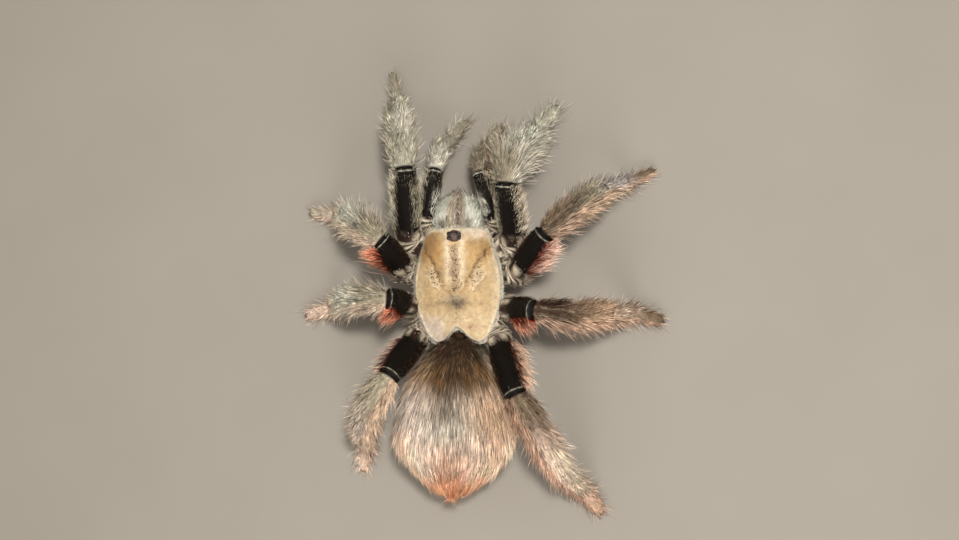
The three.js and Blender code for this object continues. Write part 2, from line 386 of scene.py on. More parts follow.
def bumped(graph: Graph, height: Socket, distance: float) -> Socket:
    """A surface normal bumped by a height of 0 to 1 over a distance in metres."""
    return graph.add("ShaderNodeBump", inputs={"Height": height, "Distance": distance})


@dataclass(frozen=True)
class CoatFinish(Finish):
    """Hair: the colour stored along each bristle, a little uneven from place to place."""

    name: str = "coat"
    roughness: float = 0.5
    gloss: float = 0.2
    unevenness: float = 0.2

    def patterns(self, graph: Graph) -> dict[str, Socket]:
        """The stored tint, lighter and darker in small clumps."""
        level = graph.noise(900.0, object_place(graph)) * (2 * self.unevenness) + (1 - self.unevenness)
        return {"Base Color": stored_colour(graph, "tint") * level}


@dataclass(frozen=True)
class SkinFinish(Finish):
    """Skin under the coat: the stored marking, with fine pores and creases."""

    name: str = "skin"
    roughness: float = 0.7
    gloss: float = 0.12

    def patterns(self, graph: Graph) -> dict[str, Socket]:
        """The stored tint with pores, and creases in the bump.

        Args:
            graph: The material's nodes.

        Returns:
            What feeds the shader, by input.
        """
        place = object_place(graph)
        pores = graph.noise(2600.0, place, 3.0)
        creases = graph.noise(700.0, place, 4.0)
        return {
            "Base Color": stored_colour(graph, "tint") * (pores * 0.7 + 0.6),
            "Normal": bumped(graph, pores * 0.6 + creases * 0.8, 0.12 * MM),
        }


@dataclass(frozen=True)
class VelvetShellFinish(Finish):
    """The carapace: shell under short flat hair that lies outwards from the middle pit."""

    name: str = "velvet_shell"
    roughness: float = 0.6
    gloss: float = 0.3
    EXTRA = {"Sheen Weight": 0.1, "Sheen Roughness": 0.4}

    def patterns(self, graph: Graph) -> dict[str, Socket]:
        """Fine streaks along the lie of the hair, over the stored marking, and dark speckles in places.

        Args:
            graph: The material's nodes.

        Returns:
            What feeds the shader, by input.
        """
        place = object_place(graph)
        lie = graph.add("ShaderNodeAttribute", {"attribute_name": "lie"}, output="Vector")
        streaks = graph.noise(1.0, lie * (9.0, 66.0, 66.0), 3.0)
        tufts = graph.noise(1.0, lie * (26.0, 22.0, 22.0), 3.0)
        level = streaks * 0.6 + tufts * 0.45 + graph.noise(260.0, place, 3.0) * 0.5 + 0.22
        specks = graph.maths("SMOOTH_MIN", graph.noise(2700.0, place) * 14.0 - 7.4, 1.0, 0.2)
        mask = graph.add("ShaderNodeAttribute", {"attribute_name": "specks"}, output="Fac")
        share = graph.maths("MAXIMUM", specks, 0.0) * mask
        return {
            "Base Color": graph.mix(share, stored_colour(graph, "tint") * level, Tone.UMBER.rgb),
            "Normal": bumped(graph, streaks * 0.8 + tufts * 0.6, 0.14 * MM),
        }


@dataclass(frozen=True)
class PlateFinish(Finish):
    """Dark shell plate with a satin face and fine pits."""

    name: str = "dark_plate"
    roughness: float = 0.42
    grain: float = 420.0
    contrast: float = 1.0

    def patterns(self, graph: Graph) -> dict[str, Socket]:
        """Mottled brown with pits.

        Args:
            graph: The material's nodes.

        Returns:
            What feeds the shader, by input.
        """
        place = object_place(graph)
        clouds = graph.noise(self.grain, place, 4.0) * self.contrast + (0.5 - self.contrast * 0.5)
        pits = graph.noise(2200.0, place)
        patches = graph.maths("SMOOTH_MIN", clouds, 1.0, 0.1)
        return {
            "Base Color": graph.mix(patches, Tone.SOOT.rgb, Tone.UMBER.rgb),
            "Roughness": pits * 0.3 + (self.roughness - 0.1),
            "Normal": bumped(graph, pits, 0.08 * MM),
        }


@dataclass(frozen=True)
class HornFinish(Finish):
    """Polished horn of the fangs: black, with growth lines."""

    name: str = "horn"
    roughness: float = 0.2
    EXTRA = {"Coat Weight": 0.5, "Coat Roughness": 0.12}

    def patterns(self, graph: Graph) -> dict[str, Socket]:
        """Growth lines along the horn, faint in colour and bump.

        Args:
            graph: The material's nodes.

        Returns:
            What feeds the shader, by input.
        """
        lines = graph.noise(1.0, object_place(graph) * (1400.0, 260.0, 1400.0))
        colour = graph.mix(lines, Tone.VELVET.rgb * 0.5, Tone.SOOT.rgb)
        return {"Base Color": colour, "Normal": bumped(graph, lines, 0.04 * MM)}


@dataclass(frozen=True)
class EyeFinish(Finish):
    """A wet dark lens, a little amber in its depth."""

    name: str = "eye"
    roughness: float = 0.06
    EXTRA = {"Coat Weight": 1.0, "Coat Roughness": 0.02, "IOR": 1.55}

    def patterns(self, graph: Graph) -> dict[str, Socket]:
        """Amber-brown clouds, nearly black."""
        clouds = graph.noise(1800.0, object_place(graph))
        return {"Base Color": graph.mix(clouds, Tone.VELVET.rgb * 0.35, Tone.CHESTNUT.rgb * 0.35)}


@dataclass(frozen=True)
class FloorFinish(Finish):
    """The plain pale studio floor."""

    name: str = "floor"
    roughness: float = 0.85
    light: int = 0x878075
    dark: int = 0x81796D

    def patterns(self, graph: Graph) -> dict[str, Socket]:
        """One pale grey with the faintest unevenness."""
        faint = graph.noise(30.0, object_place(graph))
        return {"Base Color": graph.mix(faint, linear(self.dark), linear(self.light))}


# ---------------- surfaces


@dataclass
class Surface:
    """A stretch of the body's surface, as rows of points, each row going once round.

    Attributes:
        points: Places in metres, rows by columns by 3. The last column lies on the first.
        values: Named values at each point, one number or three.
        cell: Part of the unwrap that it fills, as (left, bottom, width, height).
    """

    points: Array
    values: dict[str, Array] = field(default_factory=dict)
    cell: tuple[float, float, float, float] = (0.01, 0.01, 0.98, 0.98)

    @property
    def shape(self) -> tuple[int, int]:
        """Rows and columns."""
        return self.points.shape[:2]

    def slice(self, rows: slice) -> "Surface":
        """Some of its rows, as a surface of their own."""
        return Surface(self.points[rows], {n: v[rows] for n, v in self.values.items()}, self.cell)

    def comb(self) -> Array:
        """The way from each row to the next, at length 1."""
        return unit(np.gradient(self.points, axis=0))

    def unwrap(self) -> Array:
        """Each point's place on the unwrap: columns across and rows up, in its cell.

        Returns:
            Places on the unwrap, with a third number of 0.
        """
        rows, columns = self.shape
        left, bottom, width, height = self.cell
        across, along = np.meshgrid(np.linspace(0, 1, columns), np.linspace(0, 1, rows))
        return np.stack([left + across * width, bottom + along * height, along * 0], axis=-1)

    def lay(self, key: str, cover: Array, reach: Array, stand: Array, root: Array, tip: Array) -> None:
        """Stores what a layer of bristles reads from the surface.

        Args:
            key: The layer's key.
            cover: Share of the full density, 0 to 1.
            reach: Length of the bristles in mm.
            stand: Angle to the surface in degrees.
            root: Colour at the root.
            tip: Colour at the tip.
        """
        flat = np.zeros(np.shape(cover))
        colour = np.zeros((*flat.shape, 3))
        self.values |= {
            f"{key}_cover": np.clip(cover, 0, 1),
            f"{key}_reach": (flat + reach) * MM,
            f"{key}_stand": np.radians(flat + stand),
            f"{key}_root": colour + root,
            f"{key}_tip": colour + tip,
        }


def quad_faces(rows: int, columns: int, start: int = 0) -> Array:
    """The quads of a grid of points, facing out.

    Args:
        rows: Rows of points, along the surface.
        columns: Points in a row, round the surface.
        start: Number of the first point.

    Returns:
        Four corner numbers for each quad.
    """
    i, j = np.meshgrid(np.arange(rows - 1), np.arange(columns - 1), indexing="ij")
    corner = (start + i * columns + j).reshape(-1)
    return np.stack([corner, corner + columns, corner + columns + 1, corner + 1], axis=1)


def make_mesh(name: str, points: Array, faces: Sequence[Sequence[int]]) -> bpy.types.Mesh:
    """A mesh from points and faces.

    Args:
        name: Name of the mesh.
        points: Places in metres, one row each.
        faces: Corner numbers of each face.

    Returns:
        The mesh, smooth shaded.
    """
    mesh = bpy.data.meshes.new(name)
    mesh.from_pydata([tuple(p) for p in points.tolist()], [], [list(f) for f in faces])
    mesh.shade_smooth()
    mesh.update()
    return mesh


def add_object(name: str, mesh: bpy.types.Mesh) -> bpy.types.Object:
    """Puts a mesh in the scene as an object at the origin.

    Args:
        name: Name of the object.
        mesh: Its mesh.

    Returns:
        The object.
    """
    made = bpy.data.objects.new(name, mesh)
    bpy.context.scene.collection.objects.link(made)
    return made


def store_values(mesh: bpy.types.Mesh, values: Mapping[str, Array]) -> None:
    """Stores named numbers or triples on a mesh's points."""
    for name, value in values.items():
        if value.ndim == 1:
            layer = mesh.attributes.new(name, "FLOAT", "POINT")
            layer.data.foreach_set("value", value.astype(np.float32))
        else:
            layer = mesh.attributes.new(name, "FLOAT_VECTOR", "POINT")
            layer.data.foreach_set("vector", value.astype(np.float32).ravel())


def closed_mesh(name: str, surface: Surface) -> bpy.types.Mesh:
    """A closed mesh of a surface: its seam joined and each end brought to a pole.

    Args:
        name: Name of the mesh.
        surface: The surface, whose first and last rows are the small end rings.

    Returns:
        The mesh.
    """
    rings = surface.points[:, :-1]
    points = np.vstack([rings.reshape(-1, 3), rings[0].mean(0), rings[-1].mean(0)])
    near = np.arange(len(points) - 2).reshape(rings.shape[:2])
    after = np.roll(near, -1, axis=1)
    faces = np.stack([near[:-1], near[1:], after[1:], after[:-1]], axis=-1).reshape(-1, 4).tolist()
    for column in np.stack([near[0], after[0], near[-1], after[-1]], axis=-1).tolist():
        faces.append([near.size, column[0], column[1]])
        faces.append([near.size + 1, column[3], column[2]])
    return make_mesh(name, points, faces)


def evaluated_mesh(item: bpy.types.Object) -> bpy.types.Mesh:
    """The mesh that an object's modifiers make of it."""
    graph = bpy.context.evaluated_depsgraph_get()
    return bpy.data.meshes.new_from_object(item.evaluated_get(graph), depsgraph=graph)


def joined(name: str, parts: Sequence[bpy.types.Object]) -> bpy.types.Object:
    """Joins objects into the first of them, which takes the name.

    Args:
        name: Name of the whole.
        parts: The objects, or only one.

    Returns:
        The object.
    """
    if len(parts) > 1:
        with bpy.context.temp_override(active_object=parts[0], selected_editable_objects=list(parts)):
            bpy.ops.object.join()
    parts[0].name = parts[0].data.name = name
    return parts[0]


def put_on_body(piece: bpy.types.Object, nodes: Sequence[str] = ()) -> None:
    """Makes a piece part of the body and reports it.

    Args:
        piece: The finished piece.
        nodes: Nodes that it stands for.
    """
    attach(piece, "root")
    if nodes:
        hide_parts(*nodes)
    LOG.info("%s: %d triangles", piece.name, sum(len(face.vertices) - 2 for face in piece.data.polygons))


# ---------------- bristles


@dataclass(frozen=True)
class BristleLayer:
    """One layer of the coat.

    Attributes:
        key: Start of the names under which a surface holds the layer's values.
        density: Bristles on each square millimetre where the cover is 1.
        radius: Radius of a bristle at its root, in mm.
        bands: Bands along a bristle.
        swirl: How far bristles turn from the lie of the coat, in radians.
        droop: Share of its rise that a bristle has lost at its tip.
        dark: Share of the bristles that are dark all along.
        seed: Seed of everything that varies.
    """

    key: str
    density: float
    radius: float
    bands: int
    swirl: float
    droop: float
    dark: float
    seed: int


class BristleTree:
    """The geometry node tree that grows one layer of bristles over a surface.

    A bristle is a closed spike of three sides. It leaves the surface at the angle that the surface holds,
    turns towards its lie as it grows, and stays above the floor.
    """

    INPUTS = {
        "Density": ("NodeSocketFloat", "density"),
        "Radius": ("NodeSocketFloat", "radius"),
        "Bands": ("NodeSocketInt", "bands"),
        "Swirl": ("NodeSocketFloat", "swirl"),
        "Droop": ("NodeSocketFloat", "droop"),
        "Dark": ("NodeSocketFloat", "dark"),
        "Seed": ("NodeSocketInt", "seed"),
    }
    LOCK_SCALE = 520.0
    PATCH = 0.003
    FLOOR = 0.03 * MM
    ROOT_DEPTH = 0.12 * MM
    DARKENING = 0.8
    FULLNESS = 1.6
    STRAND_SCALE = 1100.0
    COLOUR_RUSH = 1.6

    def __init__(self, key: str) -> None:
        """Builds the tree.

        Args:
            key: Key of the layer that it grows.
        """
        self.key = key
        self.tree = bpy.data.node_groups.new(f"bristles_{key}", "GeometryNodeTree")
        interface = self.tree.interface
        interface.new_socket("Geometry", in_out="INPUT", socket_type="NodeSocketGeometry")
        for name, (kind, _) in self.INPUTS.items():
            interface.new_socket(name, in_out="INPUT", socket_type=kind)
        interface.new_socket("Finish", in_out="INPUT", socket_type="NodeSocketMaterial")
        interface.new_socket("Geometry", in_out="OUTPUT", socket_type="NodeSocketGeometry")
        self.graph = Graph(self.tree)
        self.given = self.graph.add("NodeGroupInput")
        self._finish(*self._grown(*self._rooted()))

    def _named(self, name: str, kind: str = "FLOAT_VECTOR") -> Socket:
        """A value that the surface holds."""
        return self.graph.add("GeometryNodeInputNamedAttribute", {"data_type": kind}, {"Name": name})

    def _random(self, low: float, high: float, salt: int) -> Socket:
        """A random number for each bristle."""
        seed = self.graph.maths("ADD", self.given.beside("Seed"), salt)
        return self.graph.add(
            "FunctionNodeRandomValue", {"data_type": "FLOAT"}, {"Min": low, "Max": high, "Seed": seed}
        )

    def _store(self, geometry: Socket, name: str, kind: str, domain: str, value: Socket) -> Socket:
        """Stores a named value on a geometry."""
        return self.graph.add(
            "GeometryNodeStoreNamedAttribute",
            {"data_type": kind, "domain": domain},
            {"Geometry": geometry, "Name": name, "Value": value},
        )

    def _spike(self) -> Socket:
        """The bristle that is repeated: a cone of height 1 with its own unwrap stored on it."""
        cone = self.graph.add(
            "GeometryNodeMeshCone",
            {"fill_type": "NGON"},
            {
                "Vertices": 3,
                "Side Segments": self.given.beside("Bands"),
                "Radius Top": 0.0,
                "Radius Bottom": 1.0,
                "Depth": 1.0,
            },
        )
        return self._store(cone, "cell", "FLOAT2", "CORNER", cone.beside("UV Map"))

    def _rooted(self) -> tuple[Socket, dict[str, Socket]]:
        """Scatters the roots and works out each bristle's frame.

        Returns:
            The root points, and what is captured on them.
        """
        graph, given, key = self.graph, self.given, self.key
        cover = self._named(f"{key}_cover", "FLOAT")
        scattered = graph.add(
            "GeometryNodeDistributePointsOnFaces",
            {"distribute_method": "RANDOM"},
            {
                "Mesh": given,
                "Density": given.beside("Density") * cover * MM**-2,
                "Seed": given.beside("Seed"),
            },
        )
        normal = scattered.beside("Normal")
        points = graph.add(
            "GeometryNodeSetPosition", inputs={"Geometry": scattered, "Offset": normal * -self.ROOT_DEPTH}
        )
        place = graph.add("GeometryNodeInputPosition")
        locks = graph.noise(self.LOCK_SCALE, place, 1.0) * 4.0 - 2.0
        heading = given.beside("Swirl") * (locks * 0.6 + self._random(-0.6, 0.6, 11))
        sideways = graph.vector_maths("CROSS_PRODUCT", normal, self._named("comb"))
        across = graph.vector_maths("NORMALIZE", sideways)
        forward = graph.vector_maths("CROSS_PRODUCT", across, normal)
        ahead = forward * graph.maths("COSINE", heading) + across * graph.maths("SINE", heading)
        rise = self._named(f"{key}_stand", "FLOAT") * self._random(0.65, 1.35, 23)
        dark = graph.maths("LESS_THAN", self._random(0.0, 1.0, 53), given.beside("Dark"))
        strand = graph.noise(self.STRAND_SCALE, place, 1.0) * 2.8 - 0.4

        def aim(angle: Socket) -> Socket:
            """The way a bristle points at an angle above its lie."""
            return ahead * graph.maths("COSINE", angle) + normal * graph.maths("SINE", angle)

        captured = {
            "seat": place,
            "start": aim(rise),
            "finish": aim(rise * (1.0 - given.beside("Droop"))),
            "side": graph.vector_maths("CROSS_PRODUCT", normal, ahead),
            "unwrap": self._named("unwrap"),
            "root_tint": self._named(f"{key}_root"),
            "tip_tint": self._named(f"{key}_tip"),
            "reach": self._named(f"{key}_reach", "FLOAT") * self._random(0.6, 1.2, 37),
            "shade": strand * self._random(0.7, 1.25, 41) * (1.0 - dark * self.DARKENING),
        }
        kinds = {n: "FLOAT" if n in ("reach", "shade") else "VECTOR" for n in captured}
        kept = graph.add(
            "GeometryNodeCaptureAttribute",
            {"captures": kinds, "domain": "POINT"},
            {"Geometry": points, **captured},
        )
        return kept, {name: kept.beside(name) for name in captured}

    def _grown(self, roots: Socket, held: Mapping[str, Socket]) -> tuple[Socket, Socket, Socket]:
        """Puts a spike on each root and bends it to its way.

        Args:
            roots: The root points.
            held: What is captured on them.

        Returns:
            The bristles, with every point's new place, and its colour.
        """
        graph = self.graph
        spikes = graph.add(
            "GeometryNodeInstanceOnPoints", inputs={"Points": roots, "Instance": self._spike()}
        )
        loose = graph.add("GeometryNodeRealizeInstances", inputs={"Geometry": spikes})
        local = graph.add("GeometryNodeInputPosition") - held["seat"]
        parts = graph.add("ShaderNodeSeparateXYZ", inputs={"Vector": local})
        along = parts.beside("Z")
        turn = held["finish"] - held["start"]
        spine = (held["start"] * along + turn * (along * along * 0.5)) * held["reach"]
        tangent = graph.vector_maths("NORMALIZE", held["start"] + turn * along)
        lift = graph.vector_maths("CROSS_PRODUCT", held["side"], tangent)
        girth = self.given.beside("Radius") * MM * (along * self.FULLNESS + 1.0)
        ring = (held["side"] * parts + lift * parts.beside("Y")) * girth
        target = graph.add("ShaderNodeSeparateXYZ", inputs={"Vector": held["seat"] + spine + ring})
        height = graph.maths("MAXIMUM", target.beside("Z"), self.FLOOR)
        place = graph.add(
            "ShaderNodeCombineXYZ", inputs={"X": target, "Y": target.beside("Y"), "Z": height}
        )
        share = graph.maths("MAXIMUM", graph.maths("MINIMUM", along * self.COLOUR_RUSH - 0.15, 1.0), 0.0)
        tint = graph.mix(share, held["root_tint"], held["tip_tint"]) * held["shade"]
        patch = self._named("cell", "FLOAT_VECTOR") - (0.5, 0.5, 0.0)
        mapped = self._store(loose, "OFBake", "FLOAT2", "CORNER", held["unwrap"] + patch * self.PATCH)
        return mapped, place, tint

    def _finish(self, bristles: Socket, place: Socket, tint: Socket) -> None:
        """Moves every point to its place and dresses the bristles.

        Args:
            bristles: The bristles, made real.
            place: Where each point goes.
            tint: Colour of each point.
        """
        graph = self.graph
        tinted = self._store(bristles, "tint", "FLOAT_COLOR", "POINT", tint)
        moved = graph.add("GeometryNodeSetPosition", inputs={"Geometry": tinted, "Position": place})
        smooth = graph.add("GeometryNodeSetShadeSmooth", inputs={"Geometry": moved})
        finish = {"Geometry": smooth, "Material": self.given.beside("Finish")}
        graph.add("NodeGroupOutput", inputs={"Geometry": graph.add("GeometryNodeSetMaterial", inputs=finish)})

    def grow(
        self, host: bpy.types.Object, layer: BristleLayer, finish: bpy.types.Material
    ) -> bpy.types.Mesh:
        """Grows one layer over a surface.

        Args:
            host: The surface, with the layer's values.
            layer: Sizes of the layer.
            finish: Material of the bristles.

        Returns:
            The bristles as one plain mesh.
        """
        modifier = host.modifiers.new("bristles", "NODES")
        modifier.node_group = self.tree
        sockets = {s.name: s.identifier for s in self.tree.interface.items_tree if s.in_out == "INPUT"}
        for name, (_, size) in self.INPUTS.items():
            modifier[sockets[name]] = getattr(layer, size)
        modifier[sockets["Finish"]] = finish
        mesh = evaluated_mesh(host)
        host.modifiers.remove(modifier)
        return mesh


class Coat:
    """Grows coat pieces: layers of bristles over the surfaces of one piece, joined."""

    KEPT = {"tint", "OFBake"}

    def __init__(self) -> None:
        """Starts with no trees; one is built for each kind of layer."""
        self.trees: dict[str, BristleTree] = {}

    def grow(
        self,
        name: str,
        slot: str,
        surfaces: Sequence[Surface],
        layers: Sequence[BristleLayer],
        finish: Finish,
    ) -> None:
        """Grows one coat piece.

        Args:
            name: Name of the piece.
            slot: Not used.
            surfaces: What it grows on.
            layers: Its layers.
            finish: Finish of the bristles.
        """
        host = self._host(surfaces)
        parts = []
        for layer in layers:
            if layer.key not in self.trees:
                self.trees[layer.key] = BristleTree(layer.key)
            mesh = self.trees[layer.key].grow(host, layer, finish.material())
            self._strip(mesh)
            mesh.materials.clear()
            mesh.materials.append(finish.material())
            parts.append(add_object(f"{name}_{layer.key}", mesh))
        bpy.data.objects.remove(host)
        piece = joined(name, parts)
        piece.data.uv_layers.active = piece.data.uv_layers["OFBake"]
        put_on_body(piece)

    @staticmethod
    def _host(surfaces: Sequence[Surface]) -> bpy.types.Object:
        """The surfaces as one object that holds their values.

        Args:
            surfaces: The surfaces.

        Returns:
            The object.
        """
        points, faces, start = [], [], 0
        values: dict[str, list[Array]] = {}
        for surface in surfaces:
            count = math.prod(surface.shape)
            points.append(surface.points.reshape(count, 3))
            faces.append(quad_faces(*surface.shape, start))
            start += count
            held = {**surface.values, "comb": surface.comb(), "unwrap": surface.unwrap()}
            for key, value in held.items():
                values.setdefault(key, []).append(value.reshape(count, *value.shape[2:]))
        mesh = make_mesh("host", np.vstack(points), np.vstack(faces))
        store_values(mesh, {key: np.concatenate(stack) for key, stack in values.items()})
        return add_object("host", mesh)

    def _strip(self, mesh: bpy.types.Mesh) -> None:
        """Takes the working values off a grown mesh."""
        for name in [a.name for a in mesh.attributes if not (a.is_internal or a.is_required)]:
            if name not in self.KEPT:
                mesh.attributes.remove(mesh.attributes[name])


# ---------------- the body's frame and its tables

SIDES = {"left": -1, "right": 1}
BODY_AT = np.array([-3.0, 0.2, 13.5])
WAIST_AT = np.array([0.0, -11.0, -1.0])


def turned(yaw: float) -> Array:
    """The matrix of a turn about the vertical, in degrees."""
    return np.array(Matrix.Rotation(math.radians(yaw), 3, "Z"))


TRUNK_TURN = turned(1.5)
HIPS_TURN = turned(-1.0)
ABDOMEN_TURN = turned(-4.0)
ANKLE_HEIGHT = 2.2
TOE_HEIGHT = 1.2

COLUMNS = 29
ANGLES = np.linspace(-math.pi / 2, 3 * math.pi / 2, COLUMNS)
AHEAD = np.array([0.0, 1.0, 0.0])


def in_model(places: Array) -> Array:
    """Places in mm in the trunk's own frame, as places in mm in the model."""
    return places @ TRUNK_TURN.T + BODY_AT


def past_waist(places: Array) -> Array:
    """Places in mm on the straight abdomen, bent at the waist, in the trunk's frame."""
    return (places - WAIST_AT) @ ABDOMEN_TURN.T + WAIST_AT


def smooth_rows(table: Sequence[Sequence[float]], count: int) -> Array:
    """Reads a table of sections at even steps on a smooth curve through its rows.

    Args:
        table: The sections, one row each.
        count: How many rows to give.

    Returns:
        The rows.
    """
    rows = np.array(table, float)
    slopes = np.gradient(rows, axis=0)
    place = np.linspace(0, len(rows) - 1, count)
    cell = np.minimum(place.astype(int), len(rows) - 2)
    step = (place - cell)[:, None]
    back = 1 - step
    return (
        rows[cell] * (1 + 2 * step) * back**2
        + slopes[cell] * step * back**2
        + rows[cell + 1] * step**2 * (3 - 2 * step)
        - slopes[cell + 1] * step**2 * back
    )


def rounds(centres: Array, facing: Array, half: Array, rise: Array, depth: Array) -> Array:
    """Rings of points about a line of centres, each starting underneath.

    Args:
        centres: Middle of each ring.
        facing: Way that each ring faces, along the line.
        half: Half width of each ring.
        rise: Height of each ring over its middle.
        depth: Depth of each ring under its middle.

    Returns:
        Rings × COLUMNS × 3 places.
    """
    across = unit(np.stack([facing[:, 1], -facing[:, 0], 0 * facing[:, 0]], axis=-1))
    up = np.cross(across, facing)
    sideways = half[:, None] * np.cos(ANGLES)
    height = np.where(np.sin(ANGLES) > 0, rise[:, None], depth[:, None]) * np.sin(ANGLES)
    return centres[:, None] + across[:, None] * sideways[..., None] + up[:, None] * height[..., None]


def body_surface(
    table: Sequence[Sequence[float]], count: int, coat: float, heading: int = 1, bent: bool = False
) -> Surface:
    """A loft along the body under its coat.

    Args:
        table: Sections over the coat, as (y, half width, rise, depth, x, z), in the order of the lie.
        count: Rows to make.
        coat: Depth of the coat.
        heading: 1 where the rows run forwards, -1 where they run backwards.
        bent: Whether it is part of the abdomen, and so bends at the waist.

    Returns:
        The surface.
    """
    y, half, rise, depth, x, z = smooth_rows(table, count).T
    middle = (y[0] + y[-1]) / 2
    y = middle + (y - middle) * (1 - 2 * coat / abs(y[-1] - y[0]))
    facing = np.repeat(AHEAD[None] * heading, count, axis=0)
    places = rounds(np.stack([x, y, z], axis=-1), facing, half - coat, rise - coat, depth - coat)
    return Surface(in_model(past_waist(places) if bent else places) * MM)


def on_side(table: Sequence[Sequence[float]], side: int) -> list[tuple[float, ...]]:
    """Sections of the right-hand piece of a pair, moved to a side."""
    return [(y, half, rise, depth, side * x, z) for y, half, rise, depth, x, z in table]


def cells(surfaces: Sequence[Surface]) -> list[Surface]:
    """Gives the surfaces of one coat piece their columns of the unwrap."""
    width = 1 / len(surfaces)
    return [
        Surface(s.points, s.values, (i * width + 0.01, 0.01, width - 0.02, 0.98))
        for i, s in enumerate(surfaces)
    ]


# ---------------- limbs


@dataclass(frozen=True)
class Stance:
    """How one limb stands and how it is coloured.

    Attributes:
        yaw: Heading of each segment from the hip outwards, in degrees.
        pitch: Rise of each segment before the foot, in degrees.
        tips: Hair tips on the patella and the segments after it.
        flank: Hair tips along the rear flank of those segments.
        glow: Colour of the middle of the femur's rear fringe.
        fringe: Colour of the tips of that fringe.
        shade: How dark the undercoat shows on the outer segments; its higher values on most right-hand limbs
            are partly painted shade.
        fluff: How long and upright the guard hair of the outer segments is, 1 on most limbs.
        slim: How much further the foot's skin lies under its hair than on other limbs, in mm.
        fringed: How dense the femur's rear fringe is.
    """

    yaw: tuple[float, ...]
    pitch: tuple[float, ...]
    tips: tuple[Tone, ...]
    flank: Tone
    glow: Tone
    fringe: Tone
    shade: float = 0.3
    fluff: float = 1.0
    slim: float = 0.0
    fringed: float = 0.9


@dataclass(frozen=True)
class LimbPlan:
    """One pair of limbs.

    Attributes:
        name: Start of its nodes' names.
        coxa: Where it leaves the sternum, in the body's frame.
        hip: Where the femur starts, in the body's frame.
        lengths: Length of each segment after the coxa.
        parts: Name of each segment, the coxa first.
        radii: Radii over the coat at each segment's start, middle and end.
        girth: What the radii are multiplied by.
        nodes: Ends of its nodes' names.
        stances: The stance of each side.
        collar: Length of the pale wrinkled collar on the femur's start, in mm.
        fringe_side: 1 where the femur's fringe is on its rear, -1 where it is on its front.
        fringe_from: How far out on that flank the fringe starts, 0 on the back and 1 on the side.
        fringe_reach: How much longer that fringe is than the femur's other hair, in mm.
        inner: Hair tips on the femur's other side.
        inner_from: How far out on that flank they start.
        inner_share: How far they cover the black there.
        inner_end: Share of the femur over which those tips show.
        frosted: How densely pale hair covers the black towards the knee.
    """

    name: str
    coxa: Point
    hip: Point
    lengths: tuple[float, ...]
    parts: tuple[str, ...]
    radii: tuple[Point, ...]
    girth: float
    nodes: tuple[str, ...]
    stances: Mapping[str, Stance]
    collar: float = 1.4
    fringe_side: int = 1
    fringe_from: float = 0.75
    fringe_reach: float = 4.2
    inner: Tone = Tone.UMBER
    inner_from: float = 0.45
    inner_share: float = 0.0
    inner_end: float = 1.0
    frosted: float = 0.1


